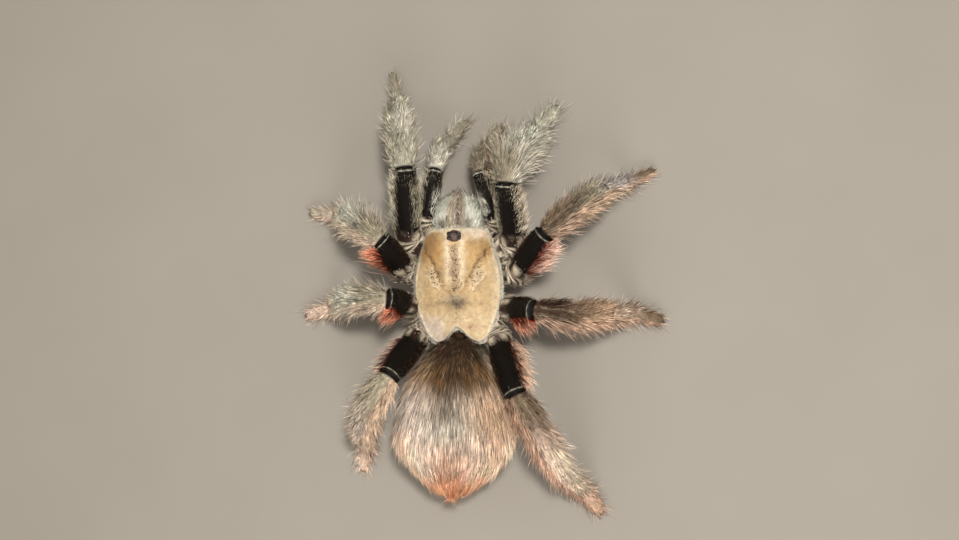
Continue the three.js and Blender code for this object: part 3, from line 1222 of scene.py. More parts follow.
class Limb:
    """One limb's surface, from inside the trunk to the tip of the foot, and the coat on it."""

    COAT_DEPTH = {"coxa": 0.12, "femur": 0.45, "patella": 0.9, "tibia": 1.1, "metatarsus": 1.0, "tarsus": 0.7}
    CLOSE_STEPS = (0.0, 0.15, 0.3, 0.5, 0.8, 1.2, 1.7)
    STEP = 1.1
    WIDEST_STRETCH = 1.22
    # Rounding of the toe: distance past the last ring and radius, both as shares of its radius.
    TOE = ((0.45, 0.89), (0.75, 0.66), (0.93, 0.37))
    # Rims and grooves: the end that they lie by, then their distance from it, width and height in mm.
    GROOVES = {
        "femur": (("far", 0.1, 0.16, 0.08), ("far", 0.6, 0.25, -0.1)),
        "patella": (("near", 0.25, 0.32, -0.42), ("far", 0.0, 0.35, -0.2)),
        "tibia": (("near", 0.0, 0.35, -0.2), ("far", 0.0, 0.4, -0.3)),
        "metatarsus": (("near", 0.0, 0.4, -0.3), ("far", 0.0, 0.3, -0.12)),
        "tarsus": (("near", 0.0, 0.3, -0.12),),
    }
    WRINKLE_PITCH = 1.15
    COLLAR_SLANT = 1.7
    STEEPEST = 62
    OFF_COLLAR = -9.0
    # How far from a joint rings lean: at most a share of the segment, and in mm.
    LEAN_SHARE = 0.48
    LEAN_RADIUS = 4.4
    LEAST_LEAN = 0.3
    STRIPE_AT = math.radians(24)
    STRIPE_WIDTH = math.radians(8)
    GUARD_REACH = {"patella": 3.6, "tibia": 4.4, "metatarsus": 4.0, "tarsus": 2.0}
    GUARD_STAND = {"patella": 24.0, "tibia": 26.0, "metatarsus": 26.0, "tarsus": 20.0}

    def __init__(self, plan: LimbPlan, label: str) -> None:
        """Works out the limb's surface.

        Args:
            plan: The pair of limbs that it is one of.
            label: Its side, "left" or "right".
        """
        self.plan = plan
        self.label = label
        self.side = SIDES[label]
        self.stance = plan.stances[label]
        self._lay(self._joints())
        self.surface.values["tint"] = self._skin_tint()

    @property
    def nodes(self) -> list[str]:
        """Names of the limb's nodes."""
        return [f"{self.plan.name}_{self.label}_{end}" for end in self.plan.nodes]

    def _joints(self) -> Array:
        """Works out where the joints are, from the root of the coxa to the toe.

        Returns:
            Their places in mm.
        """
        plan, stance = self.plan, self.stance
        mirror = np.array([self.side, 1, 1])
        hip = (np.array(plan.hip) * mirror) @ HIPS_TURN.T + BODY_AT
        joints = [in_model(np.array(plan.coxa) * mirror), hip]
        ankle = len(plan.lengths) - 2
        for i, length in enumerate(plan.lengths):
            drop = joints[-1][2] - (ANKLE_HEIGHT if i == ankle else TOE_HEIGHT)
            pitch = math.radians(stance.pitch[i]) if i < ankle else -math.asin(drop / length)
            yaw = math.radians(stance.yaw[i])
            level = math.cos(pitch)
            run = np.array([math.cos(yaw) * level, math.sin(yaw) * level, math.sin(pitch)])
            joints.append(joints[-1] + run * length)
        return np.array(joints)

    def _distances(self, length: float) -> Array:
        """Where a segment's rings stand along it: closer together towards its joints.

        Args:
            length: Length of the segment.

        Returns:
            Distances from its start, in mm.
        """
        ends = np.array(self.CLOSE_STEPS)
        count = max(2, round((length - 2 * ends[-1]) / self.STEP))
        middle = np.linspace(ends[-1], length - ends[-1], count + 1)
        return np.concatenate([ends, middle[1:-1], length - ends[::-1]])

    def _lay(self, joints: Array) -> None:
        """Lays the rings along the joints.

        Args:
            joints: Places of the joints in mm.
        """
        steps = np.diff(joints, axis=0)
        lengths = np.linalg.norm(steps, axis=1)
        runs = steps / lengths[:, None]
        rows: list[tuple] = []
        for i, (part, length, run) in enumerate(zip(self.plan.parts, lengths, runs)):
            for near in self._distances(length)[min(i, 1) :]:
                far, facing = length - near, run
                for gap, other in ((near, i - 1), (far, i + 1)):
                    if 0 <= other < len(runs):
                        facing = facing + self._lean(run, runs[other], gap, length)
                radius = self._radius(i, part, near, far, length)
                centre = joints[i] + run * near
                rows.append((part, near, far, near / length, centre, unit(facing), run, radius))
        part, near, *_, run, radius = rows[-1]
        for step, kept in self.TOE:
            centre = joints[-1] + run * radius * step
            rows.append((part, near + radius * step, 0.0, 1.0, centre, run, run, radius * kept))
        self.part, near, far, share, centres, facings, along, radii = map(np.array, zip(*rows))
        self.near, self.far, self.share = (v[:, None] + np.zeros(COLUMNS) for v in (near, far, share))
        self.rear = self.side * np.cos(ANGLES) + 0 * self.near
        self.dorsal = np.sin(ANGLES) + 0 * self.near
        rings = rounds(centres, facings, radii, radii, radii)
        swelling = self._collar_swelling() / radii[:, None]
        rings = rings + (rings - centres[:, None]) * swelling[..., None]
        level = np.sum(along * facings, axis=1)
        tilt = unit(along - facings * level[:, None])
        stretch = np.minimum(1 / level, self.WIDEST_STRETCH) - 1
        leaning = np.sum((rings - centres[:, None]) * tilt[:, None], axis=-1) * stretch[:, None]
        self.surface = Surface((rings + tilt[:, None] * leaning[..., None]) * MM)

    def _lean(self, run: Array, other: Array, gap: float, length: float) -> Array:
        """How far a ring turns towards the bend beside it.

        Args:
            run: Way of the ring's own segment.
            other: Way of the segment past the joint.
            gap: Distance from the ring to the joint.
            length: Length of the segment.

        Returns:
            What to add to the way that the ring faces.
        """
        halfway = unit(run + other)
        bend = math.acos(float(np.clip(run @ other, -1, 1)))
        reach = min(self.LEAN_SHARE * length, self.LEAN_RADIUS * math.tan(bend / 2) + self.LEAST_LEAN)
        return (halfway - run) * max(0.0, 1 - gap / reach) ** 2

    def _radius(self, i: int, part: str, near: float, far: float, length: float) -> float:
        """Radius of the bare limb, with its rims and grooves.

        Args:
            i: Number of the segment.
            part: Its name.
            near: Distance from its start.
            far: Distance from its end.
            length: Its length.

        Returns:
            The radius in mm.
        """
        start, middle, end = self.plan.radii[i]
        share = near / length
        swell = 2 * (start + end) - 4 * middle
        radius = (start + (end - start) * share - swell * share * (1 - share)) * self.plan.girth
        radius = radius - self.COAT_DEPTH[part]
        if part in ("metatarsus", "tarsus"):
            radius -= self.stance.slim * float(ramp(near, 0.0, 4.0) if part == "metatarsus" else 1.0)
        gaps = {"near": near, "far": far}
        grooves = self.GROOVES.get(part, ())
        return radius + sum(h * float(bump_at(gaps[end], at, width)) for end, at, width, h in grooves)

    def _wrinkle(self, lip: Array) -> Array:
        """Height of the collar's wrinkles, 0 to 1, at a distance back from its lip."""
        return 0.5 - 0.5 * np.cos(2 * math.pi * np.asarray(lip) / self.WRINKLE_PITCH)

    @property
    def _lip(self) -> Array:
        """Distance back from the collar's lip, which reaches further out on the limb's back.

        Returns:
            The distance at each point in mm.
        """
        coxal, femoral = self._of("coxa") > 0, self._of("femur") > 0
        lip = np.where(coxal, self.far + self.plan.collar, self.plan.collar - self.near)
        slant = self.COLLAR_SLANT * math.tan(math.radians(min(self.stance.pitch[0], self.STEEPEST)))
        wavering = 0.16 * np.sin(2 * ANGLES + self.stance.yaw[0])
        return np.where(coxal | femoral, lip + slant * self.dorsal + wavering, self.OFF_COLLAR)

    def _collar_swelling(self) -> Array:
        """How far the wrinkled collar stands out.

        Returns:
            The distance at each point in mm.
        """
        lip = self._lip
        wrinkled = 0.36 * self._wrinkle(lip) - 0.18
        step = np.where(self._of("femur") > 0, 0.35, 0.0)
        return ramp(lip, -0.1, 0.3) * (wrinkled + step) - 0.2 * bump_at(lip, -0.25, 0.3)

    def _of(self, part: str) -> Array:
        """1 on the rows of a segment and 0 elsewhere."""
        return (self.part == part).astype(float)[:, None] + 0 * self.near

    @property
    def _stripes(self) -> Array:
        """The two bald stripes along the back of the patella and tibia.

        Returns:
            How bald each point is.
        """
        stripes = bump_at(np.abs(ANGLES - math.pi / 2), self.STRIPE_AT, self.STRIPE_WIDTH)
        fading = self._of("patella") + self._of("tibia") * ramp(self.share, 0.98, 0.7)
        return stripes * ramp(self.near, 0.4, 1.4) * fading

    def _outer_tips(self) -> tuple[Array, Array]:
        """Works out the hair of the patella and what follows it.

        Returns:
            The colour of the tips, and how dark the undercoat shows, partly painted shade.
        """
        parts = self.plan.parts[2:]
        shades = np.array([tone.rgb for tone in self.stance.tips])
        place = sum((i + np.clip(self.share, 0, 1)) * self._of(part) for i, part in enumerate(parts))
        anchors = np.arange(len(parts)) + 0.5
        tips = np.stack([np.interp(place, anchors, channel) for channel in shades.T], axis=-1)
        tips = blend(tips, self.stance.flank.rgb, ramp(self.rear, 0.3, 0.85) * 0.8)
        tips = tips * (1 - 0.16 * self._of("tarsus"))[..., None]
        return tips, self.stance.shade * ramp(place, 1.7, 0.7) + 0.03

    def _skin_tint(self) -> Array:
        """Paints the bare skin: the coat's colours, the velvet femur, its rim and the collar.

        Returns:
            The colour at each point.
        """
        coxa, femur, patella = (self._of(part) for part in ("coxa", "femur", "patella"))
        tips, shade = self._outer_tips()
        broken = 0.35 + 0.65 * ramp(np.sin(9 * ANGLES + self.stance.yaw[1]), -0.7, 0.1)
        rim = bump_at(self.far, 0.15, 0.08) * ramp(self.dorsal, 0.1, 0.5) * broken
        lip = self._lip
        folds = ramp(self._wrinkle(lip), 0.1, 0.85) * (0.75 + 0.25 * np.sin(4 * ANGLES + 2 * lip))
        gap = ramp(self.near, 0.75, 0.5) * patella + ramp(self.near, 0.5, 0.3) * self._of("metatarsus")
        # The skin is the hair's colour made darker: partly the skin's own darker colour and partly painted
        # shade in the gaps between the hairs.
        return painted(
            tips * 0.7,
            (Tone.UMBER.rgb * 0.6, shade + 0.2 * self._of("tarsus")),
            (Tone.ASH.rgb * 0.8, self._stripes * 0.6),
            (blend(Tone.VELVET.rgb, Tone.SILVER.rgb * 0.6, rim), femur),
            (blend(Tone.SOOT.rgb, Tone.SAND.rgb * 0.9, folds), ramp(lip, -0.05, 0.1) * (coxa + femur)),
            (Tone.VELVET.rgb, gap),
        )

    def rows(self, *parts: str) -> Surface:
        """The surface of some segments that follow one another."""
        found = np.flatnonzero(np.isin(self.part, parts))
        return self.surface.slice(slice(found[0], found[-1] + 1))

    def coxa(self) -> Surface:
        """Dresses the coxa and the collar round the femur's start: short pale hair on dark wrinkles.

        Returns:
            Their surface, with its layers.
        """
        lip = self._lip
        ridge = self._wrinkle(lip)
        bare = ramp(lip, 0.0, 0.2) * np.where(self._of("coxa") > 0, ramp(self.near, 0.3, 1.2), 1)
        under = ramp(self.dorsal, 0.1, -0.7)
        tip = blend(Tone.UMBER.rgb, Tone.CREAM.rgb, ramp(ridge, 0.1, 0.7))
        lay, root = self.surface.lay, Tone.TAUPE.rgb
        lay("down", bare * (0.15 + 0.35 * ridge), 0.35, 18, tip * 0.85, tip)
        lay("guard", bare * (0.04 + 0.3 * under), 1.0 + 1.0 * under, 24, root, Tone.PEARL.rgb)
        lay("wisp", bare * (0.1 + 0.3 * under), 1.2 + 1.4 * under, 26, root, Tone.SHELL.rgb)
        return self.rows("coxa", "femur")

    def femur(self) -> Surface:
        """Dresses the femur: black velvet, frosted at the knee, with a fringe along one flank.

        Returns:
            Its surface, with its layers.
        """
        stance, plan, lay = self.stance, self.plan, self.surface.lay
        cover = ramp(self._lip, 0.0, -0.3) * ramp(self.far, 0.05, 0.3)
        outward = self.rear * plan.fringe_side
        flank = ramp(outward, plan.fringe_from - 0.15, plan.fringe_from + 0.22)
        flank = flank * ramp(self.dorsal, -1.1, -0.3)
        front = ramp(-outward, plan.inner_from, plan.inner_from + 0.4)
        front = front * ramp(self.share, plan.inner_end, plan.inner_end - 0.3)
        knee = ramp(self.far, 2.0 + 6.0 * plan.frosted, 0.4)
        shorter = 0.45 + 0.55 * ramp(self.far, 0.0, 4.0)
        velvet, glowing, fringe = Tone.VELVET.rgb, stance.glow.rgb, stance.fringe.rgb
        glow = painted(velvet, (glowing, flank), (plan.inner.rgb, front * plan.inner_share))
        tips = painted(velvet, (Tone.ASH.rgb, knee * 0.6), (plan.inner.rgb, front * 0.9))
        lay("down", cover, 0.75 + 0.5 * flank, 18 + 8 * flank, glow * 0.5, glow)
        lay(
            "guard",
            cover * (0.06 + stance.fringed * flank + (0.4 + plan.inner_share) * front + plan.frosted * knee),
            (1.3 + plan.fringe_reach * flank + 0.6 * front) * shorter,
            16 + 24 * flank + 6 * front,
            blend(velvet, glowing, flank),
            blend(tips, fringe, flank),
        )
        lay(
            "wisp",
            cover * (0.08 + stance.fringed * flank + 0.4 * front + plan.frosted * knee),
            (1.6 + (plan.fringe_reach + 0.6) * flank) * shorter,
            24 + 20 * flank,
            blend(velvet, glowing, flank * 0.8),
            blend(tips, blend(fringe, Tone.PEARL.rgb, 0.5), flank),
        )
        return self.rows("femur")

    def outer(self) -> Surface:
        """Dresses the patella and what follows it: pale hair over a darker undercoat.

        Returns:
            Their surface, with its layers.
        """
        stance, parts, lay = self.stance, self.plan.parts[2:], self.surface.lay
        tips, shade = self._outer_tips()
        patella, tarsal = self._of("patella"), self._of("tarsus")
        gap = patella * ramp(self.near, 0.75, 0.4)
        for part in parts[1:-1]:
            gap = gap + self._of(part) * ramp(self.near, 0.4, 0.1) * 0.7
        below = ramp(self.dorsal, -0.2, -0.9)
        pads = tarsal * below
        root = blend(tips * 0.85, Tone.UMBER.rgb * 0.8, shade)
        cover = (1 - gap) * (1 - 0.35 * self._stripes)
        lay("down", cover, 1.2 - 0.3 * tarsal, 16 + 20 * pads, root, blend(tips, tips * 0.8, pads))
        sides = np.abs(self.rear)
        fluff = 1 + (stance.fluff - 1) * (0.4 + 0.6 * (patella + self._of("tibia")))
        reach = sum(self._of(part) * self.GUARD_REACH[part] for part in parts)
        stand = sum(self._of(part) * self.GUARD_STAND[part] for part in parts)
        reach = reach * np.where(patella > 0, 0.4 + 0.6 * ramp(self.near, 0.0, 3.5), 1.0) * fluff
        dusky = blend(root, Tone.UMBER.rgb, 0.2 + 0.6 * shade)
        lay(
            "guard",
            cover * (0.45 + 0.55 * ramp(sides, 0.3, 0.9)) * (1 - 0.6 * below) * (1 - 0.5 * tarsal),
            reach * (0.6 + 0.5 * sides) * (1 - 0.5 * below),
            stand * (0.45 + 0.75 * sides) * fluff,
            dusky,
            np.minimum(tips * 1.2, BRIGHTEST),
        )
        lay(
            "wisp",
            cover * (0.2 + 0.8 * sides) * (1 - 0.5 * below) * (1 - 0.4 * tarsal),
            (reach * 0.5 + 2.6 * fluff) * (0.5 + 0.6 * sides),
            (14 + 34 * sides) * fluff,
            dusky,
            blend(tips, Tone.SHELL.rgb, 0.35),
        )
        return self.rows(*parts)


LEG_PARTS = ("coxa", "femur", "patella", "tibia", "metatarsus", "tarsus")
LEG_RADII = (
    (2.1, 2.8, 3.2), (2.9, 3.2, 2.8), (2.8, 3.3, 3.1), (3.0, 3.3, 2.7), (2.6, 2.5, 2.2), (2.1, 2.2, 1.8)
)
LEG_NODES = ("coxa", "femur", "patella_tibia", "foot")
PALP_PARTS = ("coxa", "femur", "patella", "tibia", "tarsus")
PALP_RADII = ((2.0, 2.2, 2.1), (2.1, 2.4, 2.3), (2.3, 2.6, 2.5), (2.4, 2.6, 2.2), (2.0, 2.1, 1.7))
PALP_NODES = ("maxilla", "femur", "patella_tibia", "tarsus")

# Each stance's shade darkens the undercoat of the outer segments; its higher values on most right-hand limbs
# are partly painted shade.
PLANS = (
    LimbPlan(
        "palp", (3.3, 7.4, -4.0), (8.0, 13.5, -1.6), (11.5, 7.0, 9.5, 5.0),
        PALP_PARTS, PALP_RADII, 1.0, PALP_NODES,
        {
            "left": Stance(
                (78, 88, 77, 53), (16, -36), (Tone.FROST, Tone.SILVER, Tone.ASH), Tone.FROST,
                Tone.OLIVE, Tone.SILVER, shade=0.2, fluff=0.75,
            ),
            "right": Stance(
                (107, 98, 90, 64), (22, -47), (Tone.ASH, Tone.ASH, Tone.ASH), Tone.TAUPE,
                Tone.OLIVE, Tone.SAND, shade=0.55, fluff=0.9,
            ),
        },
        collar=1.0,
        fringe_from=0.35,
        fringe_reach=0.9,
        inner=Tone.FROST,
        inner_from=0.1,
        inner_share=0.8,
        inner_end=0.75,
        frosted=0.6,
    ),
    LimbPlan(
        "leg_1", (4.7, 5.6, -3.6), (11.7, 9.2, -0.6), (18.5, 8.5, 12.5, 10.5, 6.0),
        LEG_PARTS, LEG_RADII, 1.0, LEG_NODES,
        {
            "left": Stance(
                (84, 105, 111, 114, 102), (40, -29, -49), (Tone.SILVER, Tone.FROST, Tone.SILVER, Tone.ASH),
                Tone.SILVER, Tone.OLIVE, Tone.SILVER, shade=0.3, fluff=0.95, slim=0.5,
            ),
            "right": Stance(
                (88, 85, 68, 71, 57), (55, -35, -66), (Tone.ASH, Tone.CHALK, Tone.CHALK, Tone.SILVER),
                Tone.FROST, Tone.SOOT, Tone.CREAM, shade=0.3, fluff=1.35,
            ),
        },
        collar=2.7,
        fringe_from=0.5,
        fringe_reach=1.2,
        inner=Tone.ASH,
        inner_from=0.35,
        inner_share=0.3,
        frosted=0.4,
    ),
    LimbPlan(
        "leg_2", (5.0, 1.8, -3.6), (12.7, 2.8, -1.3), (15.5, 9.0, 11.5, 11.0, 6.0),
        LEG_PARTS, LEG_RADII, 0.95, LEG_NODES,
        {
            "left": Stance(
                (109, 148, 149, 167, 175), (70, -36, -54), (Tone.ASH, Tone.CHALK, Tone.SHELL, Tone.CREAM),
                Tone.SHELL, Tone.EMBER, Tone.SALMON, shade=0.1, fluff=1.1, slim=0.3,
            ),
            "right": Stance(
                (45, 44, 43, 29, 27), (50, -25, -48), (Tone.TAUPE, Tone.ASH, Tone.LILAC, Tone.TAUPE),
                Tone.PEACH, Tone.EMBER, Tone.SHELL, shade=0.95, slim=0.3,
            ),
        },
        collar=2.4,
        fringe_from=0.8,
        fringe_reach=4.8,
    ),
    LimbPlan(
        "leg_3", (5.0, -2.4, -3.6), (10.8, -5.3, -1.1), (13.5, 8.5, 11.0, 11.5, 6.0),
        LEG_PARTS, LEG_RADII, 0.95, LEG_NODES,
        {
            "left": Stance(
                (153, 180, 183, 187, 197), (80, -27, -56), (Tone.ASH, Tone.CHALK, Tone.SHELL, Tone.SHELL),
                Tone.SHELL, Tone.EMBER, Tone.SALMON, shade=0.1,
            ),
            "right": Stance(
                (-6, -8, 6, 8, -14), (59, -20, -50), (Tone.BARK, Tone.FAWN, Tone.SHELL, Tone.TAUPE),
                Tone.BLUSH, Tone.EMBER, Tone.ROSE, shade=0.95,
            ),
        },
        collar=3.4,
        fringe_from=0.8,
        fringe_reach=4.6,
    ),
    LimbPlan(
        "leg_4", (4.4, -6.4, -3.6), (9.0, -11.9, -1.1), (17.5, 8.0, 13.5, 14.0, 5.0),
        LEG_PARTS, LEG_RADII, 1.0, LEG_NODES,
        {
            "left": Stance(
                (-109, -124, -122, -131, -97), (60, -7, -54), (Tone.ASH, Tone.HUSK, Tone.SHELL, Tone.SHELL),
                Tone.PEACH, Tone.BRICK, Tone.BLUSH, shade=0.3, fringed=0.25,
            ),
            "right": Stance(
                (-65, -63, -62, -54, -50), (44, -23, -31), (Tone.TAUPE, Tone.SHELL, Tone.SHELL, Tone.BLUSH),
                Tone.ROSE, Tone.BRICK, Tone.PEACH, shade=0.7,
            ),
        },
        collar=2.0,
        fringe_side=-1,
        fringe_from=0.85,
    ),
)


# ---------------- trunk


class Trunk:
    """The soft trunk between the carapace and the coxae, and the waist behind it."""

    CORE = (
        (-11.6, 3.6, 0.6, 3.2, 0, -0.8),
        (-8.6, 6.6, 1.6, 4.6, 0, -0.8),
        (-3.0, 8.3, 3.0, 5.6, 0, -0.8),
        (4.0, 8.0, 3.6, 5.6, 0, -0.8),
        (9.0, 6.4, 3.6, 4.8, 0, -0.8),
        (11.7, 5.4, 2.6, 3.4, 0, -0.8),
    )
    WAIST = ((-8.6, 1.6, 1.6, 1.6, 0, -2.4), (-12.8, 1.6, 1.6, 1.6, 0, -1.0))
    SPINNERET = (
        (-42.8, 0.9, 0.9, 0.9, 1.25, -4.2),
        (-44.4, 0.85, 0.85, 0.85, 1.5, -3.95),
        (-46.0, 0.7, 0.7, 0.7, 1.75, -3.5),
        (-46.9, 0.3, 0.3, 0.3, 1.85, -3.35),
    )
    NODES = ("pedicel", "spinneret_left", "spinneret_right")

    def surfaces(self) -> list[Surface]:
        """Builds the bare surfaces: the core, the waist and the spinnerets.

        Returns:
            The surfaces, with their tints.
        """
        made = [body_surface(self.CORE, 30, 0.0), body_surface(self.WAIST, 6, 0.3, -1)]
        for side in SIDES.values():
            made.append(body_surface(on_side(self.SPINNERET, side), 12, 0.05, -1, bent=True))
        for surface in made:
            x, y, _ = np.moveaxis(surface.points / MM, -1, 0)
            folds = ramp(mottle(x, y, 0.9, 8), 0.3, 0.7) * ramp(np.arange(len(x)), 4, 8)[:, None]
            surface.values["tint"] = blend(Tone.BARK.rgb * 0.6, Tone.SAND.rgb * 0.8, folds)
        return made


class Abdomen:
    """The abdomen: a soft bag under long hair combed to its rear."""

    COAT = 0.9
    SECTIONS = (
        (-11.0, 2.2, 2.6, 2.4, 0, 0.8),
        (-12.2, 4.6, 5.0, 4.2, 0, 0.4),
        (-14.4, 7.0, 7.4, 6.2, 0, 0.0),
        (-17.6, 9.3, 9.6, 8.4, 0, -0.2),
        (-22.5, 11.5, 10.7, 9.8, 0, -0.2),
        (-29.0, 13.2, 11.0, 10.4, 0, -0.2),
        (-35.0, 13.2, 10.3, 9.9, 0, -0.3),
        (-39.8, 10.6, 8.2, 8.2, 0, -0.6),
        (-44.0, 6.4, 4.9, 5.2, 0, -1.0),
        (-46.6, 1.8, 1.6, 1.8, 0, -1.4),
    )
    ROWS = 62
    FRONT = -11.0
    REAR = -46.6
    NODES = ("abdomen",)

    def __init__(self) -> None:
        """Works out the surface and its markings."""
        self.surface = body_surface(self.SECTIONS, self.ROWS, self.COAT, -1, bent=True)
        straight = ((self.surface.points / MM - BODY_AT) @ TRUNK_TURN - WAIST_AT) @ ABDOMEN_TURN + WAIST_AT
        self.x, y, _ = np.moveaxis(straight, -1, 0)
        self.along = (self.FRONT - y) / (self.FRONT - self.REAR)
        self.up = np.sin(ANGLES) + 0 * self.x
        self.out = np.abs(np.cos(ANGLES)) + 0 * self.x
        rear = ramp(self.along, 0.6, 0.9)
        # The skin is the hair's colour made darker, most of all in front: partly the skin's own darker colour
        # and partly painted shade in the gaps between the hairs.
        skin = self._tips() * (0.3 + 0.5 * rear)[..., None]
        self.surface.values["tint"] = blend(skin, Tone.SOOT.rgb, 0.3 - 0.3 * rear)

    def _tips(self) -> Array:
        """Paints the hair: dark in front and down the middle, pale at the sides and rosy behind.

        Returns:
            The colour of the tips at each point.
        """
        out, x = self.out, self.x
        along = self.along + 0.07 * (mottle(x * 4, self.along * 12, 2.2, 6) - 0.5)
        side = ramp(np.abs(x), 2.0, 8.0)
        contour = ramp(x, 3.0, 6.0) * bump_at(out, 0.93, 0.06) * ramp(along, 0.26, 0.18)
        pale = ramp(along, 0.27 - 0.06 * side, 0.42 - 0.07 * side)
        base = painted(
            Tone.BARK.rgb * 0.85,
            (Tone.RUSSET.rgb, ramp(along, 0.06, 0.24) * (0.2 + 0.8 * side)),
            (Tone.CREAM.rgb, contour * 0.4),
            (Tone.FAWN.rgb, ramp(x, -3.0, -6.0) * ramp(along, 0.06, 0.2) * 0.25),
            (Tone.HUSK.rgb, pale),
            (Tone.ASH.rgb, pale * bump_at(x, 0.5, 4.5) * 0.55),
            (Tone.FAWN.rgb, pale * ramp(x, 2.0, 8.0) * ramp(along, 0.7, 0.45) * 0.9),
        )
        patch = bump_at(x + 6 * (along - 0.4), -0.3, 2.7) * ramp(along, 0.28, 0.34) * ramp(along, 0.56, 0.44)
        patch = np.minimum(patch * (0.4 + mottle(x, self.along * 36, 2.6, 7)), 1)
        base = painted(
            # The pale hair is darkened on the left half: painted shade on the side away from the light.
            base * (1 - 0.12 * pale * ramp(x, 0.0, -4.0))[..., None],
            (Tone.UMBER.rgb, patch * 0.9),
            (Tone.FROST.rgb, bump_at(along, 0.52, 0.05) * (1 - side) * 0.5),
            (Tone.SHELL.rgb, ramp(along, 0.5, 0.72) * (0.5 + 0.3 * side)),
            (Tone.ROSE.rgb, bump_at(x, 0.4, 4.0) * ramp(along, 0.58, 0.76) * 0.9),
            (Tone.PEACH.rgb, ramp(out, 0.5, 0.85) * ramp(along, 0.5, 0.65) * 0.8),
            (Tone.APRICOT.rgb, ramp(along, 0.76, 0.9)),
            (Tone.BRICK.rgb, bump_at(x, 1.0, 0.8) * bump_at(along, 0.9, 0.02)),
        )
        strands = 0.78 + 0.44 * mottle(x * 3.0, along * 14.0, 2.2, 5)
        return np.minimum(base * strands[..., None], 1)

    def coat(self) -> list[Surface]:
        """Dresses the abdomen in long hair.

        Returns:
            The front and the rear half of its surface, with their layers.
        """
        tips, lay = self._tips(), self.surface.lay
        under = ramp(self.up, -0.1, -0.6)
        front = ramp(self.along, 0.0, 0.03)
        rear = ramp(self.along, 0.6, 0.9)
        roots = tips * (0.5 + 0.25 * ramp(self.along, 0.25, 0.45) + 0.25 * rear)[..., None]
        dusk = blend(roots, Tone.UMBER.rgb, 0.12 - 0.1 * rear + 0.3 * under)
        reach = 1.9 + 2.7 * ramp(self.along, 0.02, 0.4)
        lay("down", front * (1 - 0.4 * under), 1.7, 12, dusk * 0.8, dusk)
        lay(
            "guard",
            front * (1 - 0.55 * under),
            reach * (1 - 0.35 * under),
            10 + 3 * self.out + 4 * ramp(self.along, 0.85, 1.0),
            roots,
            np.minimum(tips * 1.15, BRIGHTEST),
        )
        pale = blend(tips, Tone.CREAM.rgb, 0.4 * ramp(self.along, 0.5, 0.2))
        lay("wisp", front * (0.4 + 0.3 * self.out), reach + 0.6, 16 + 4 * self.out, roots, pale)
        middle = self.ROWS // 2
        return [self.surface.slice(slice(0, middle + 1)), self.surface.slice(slice(middle, self.ROWS))]


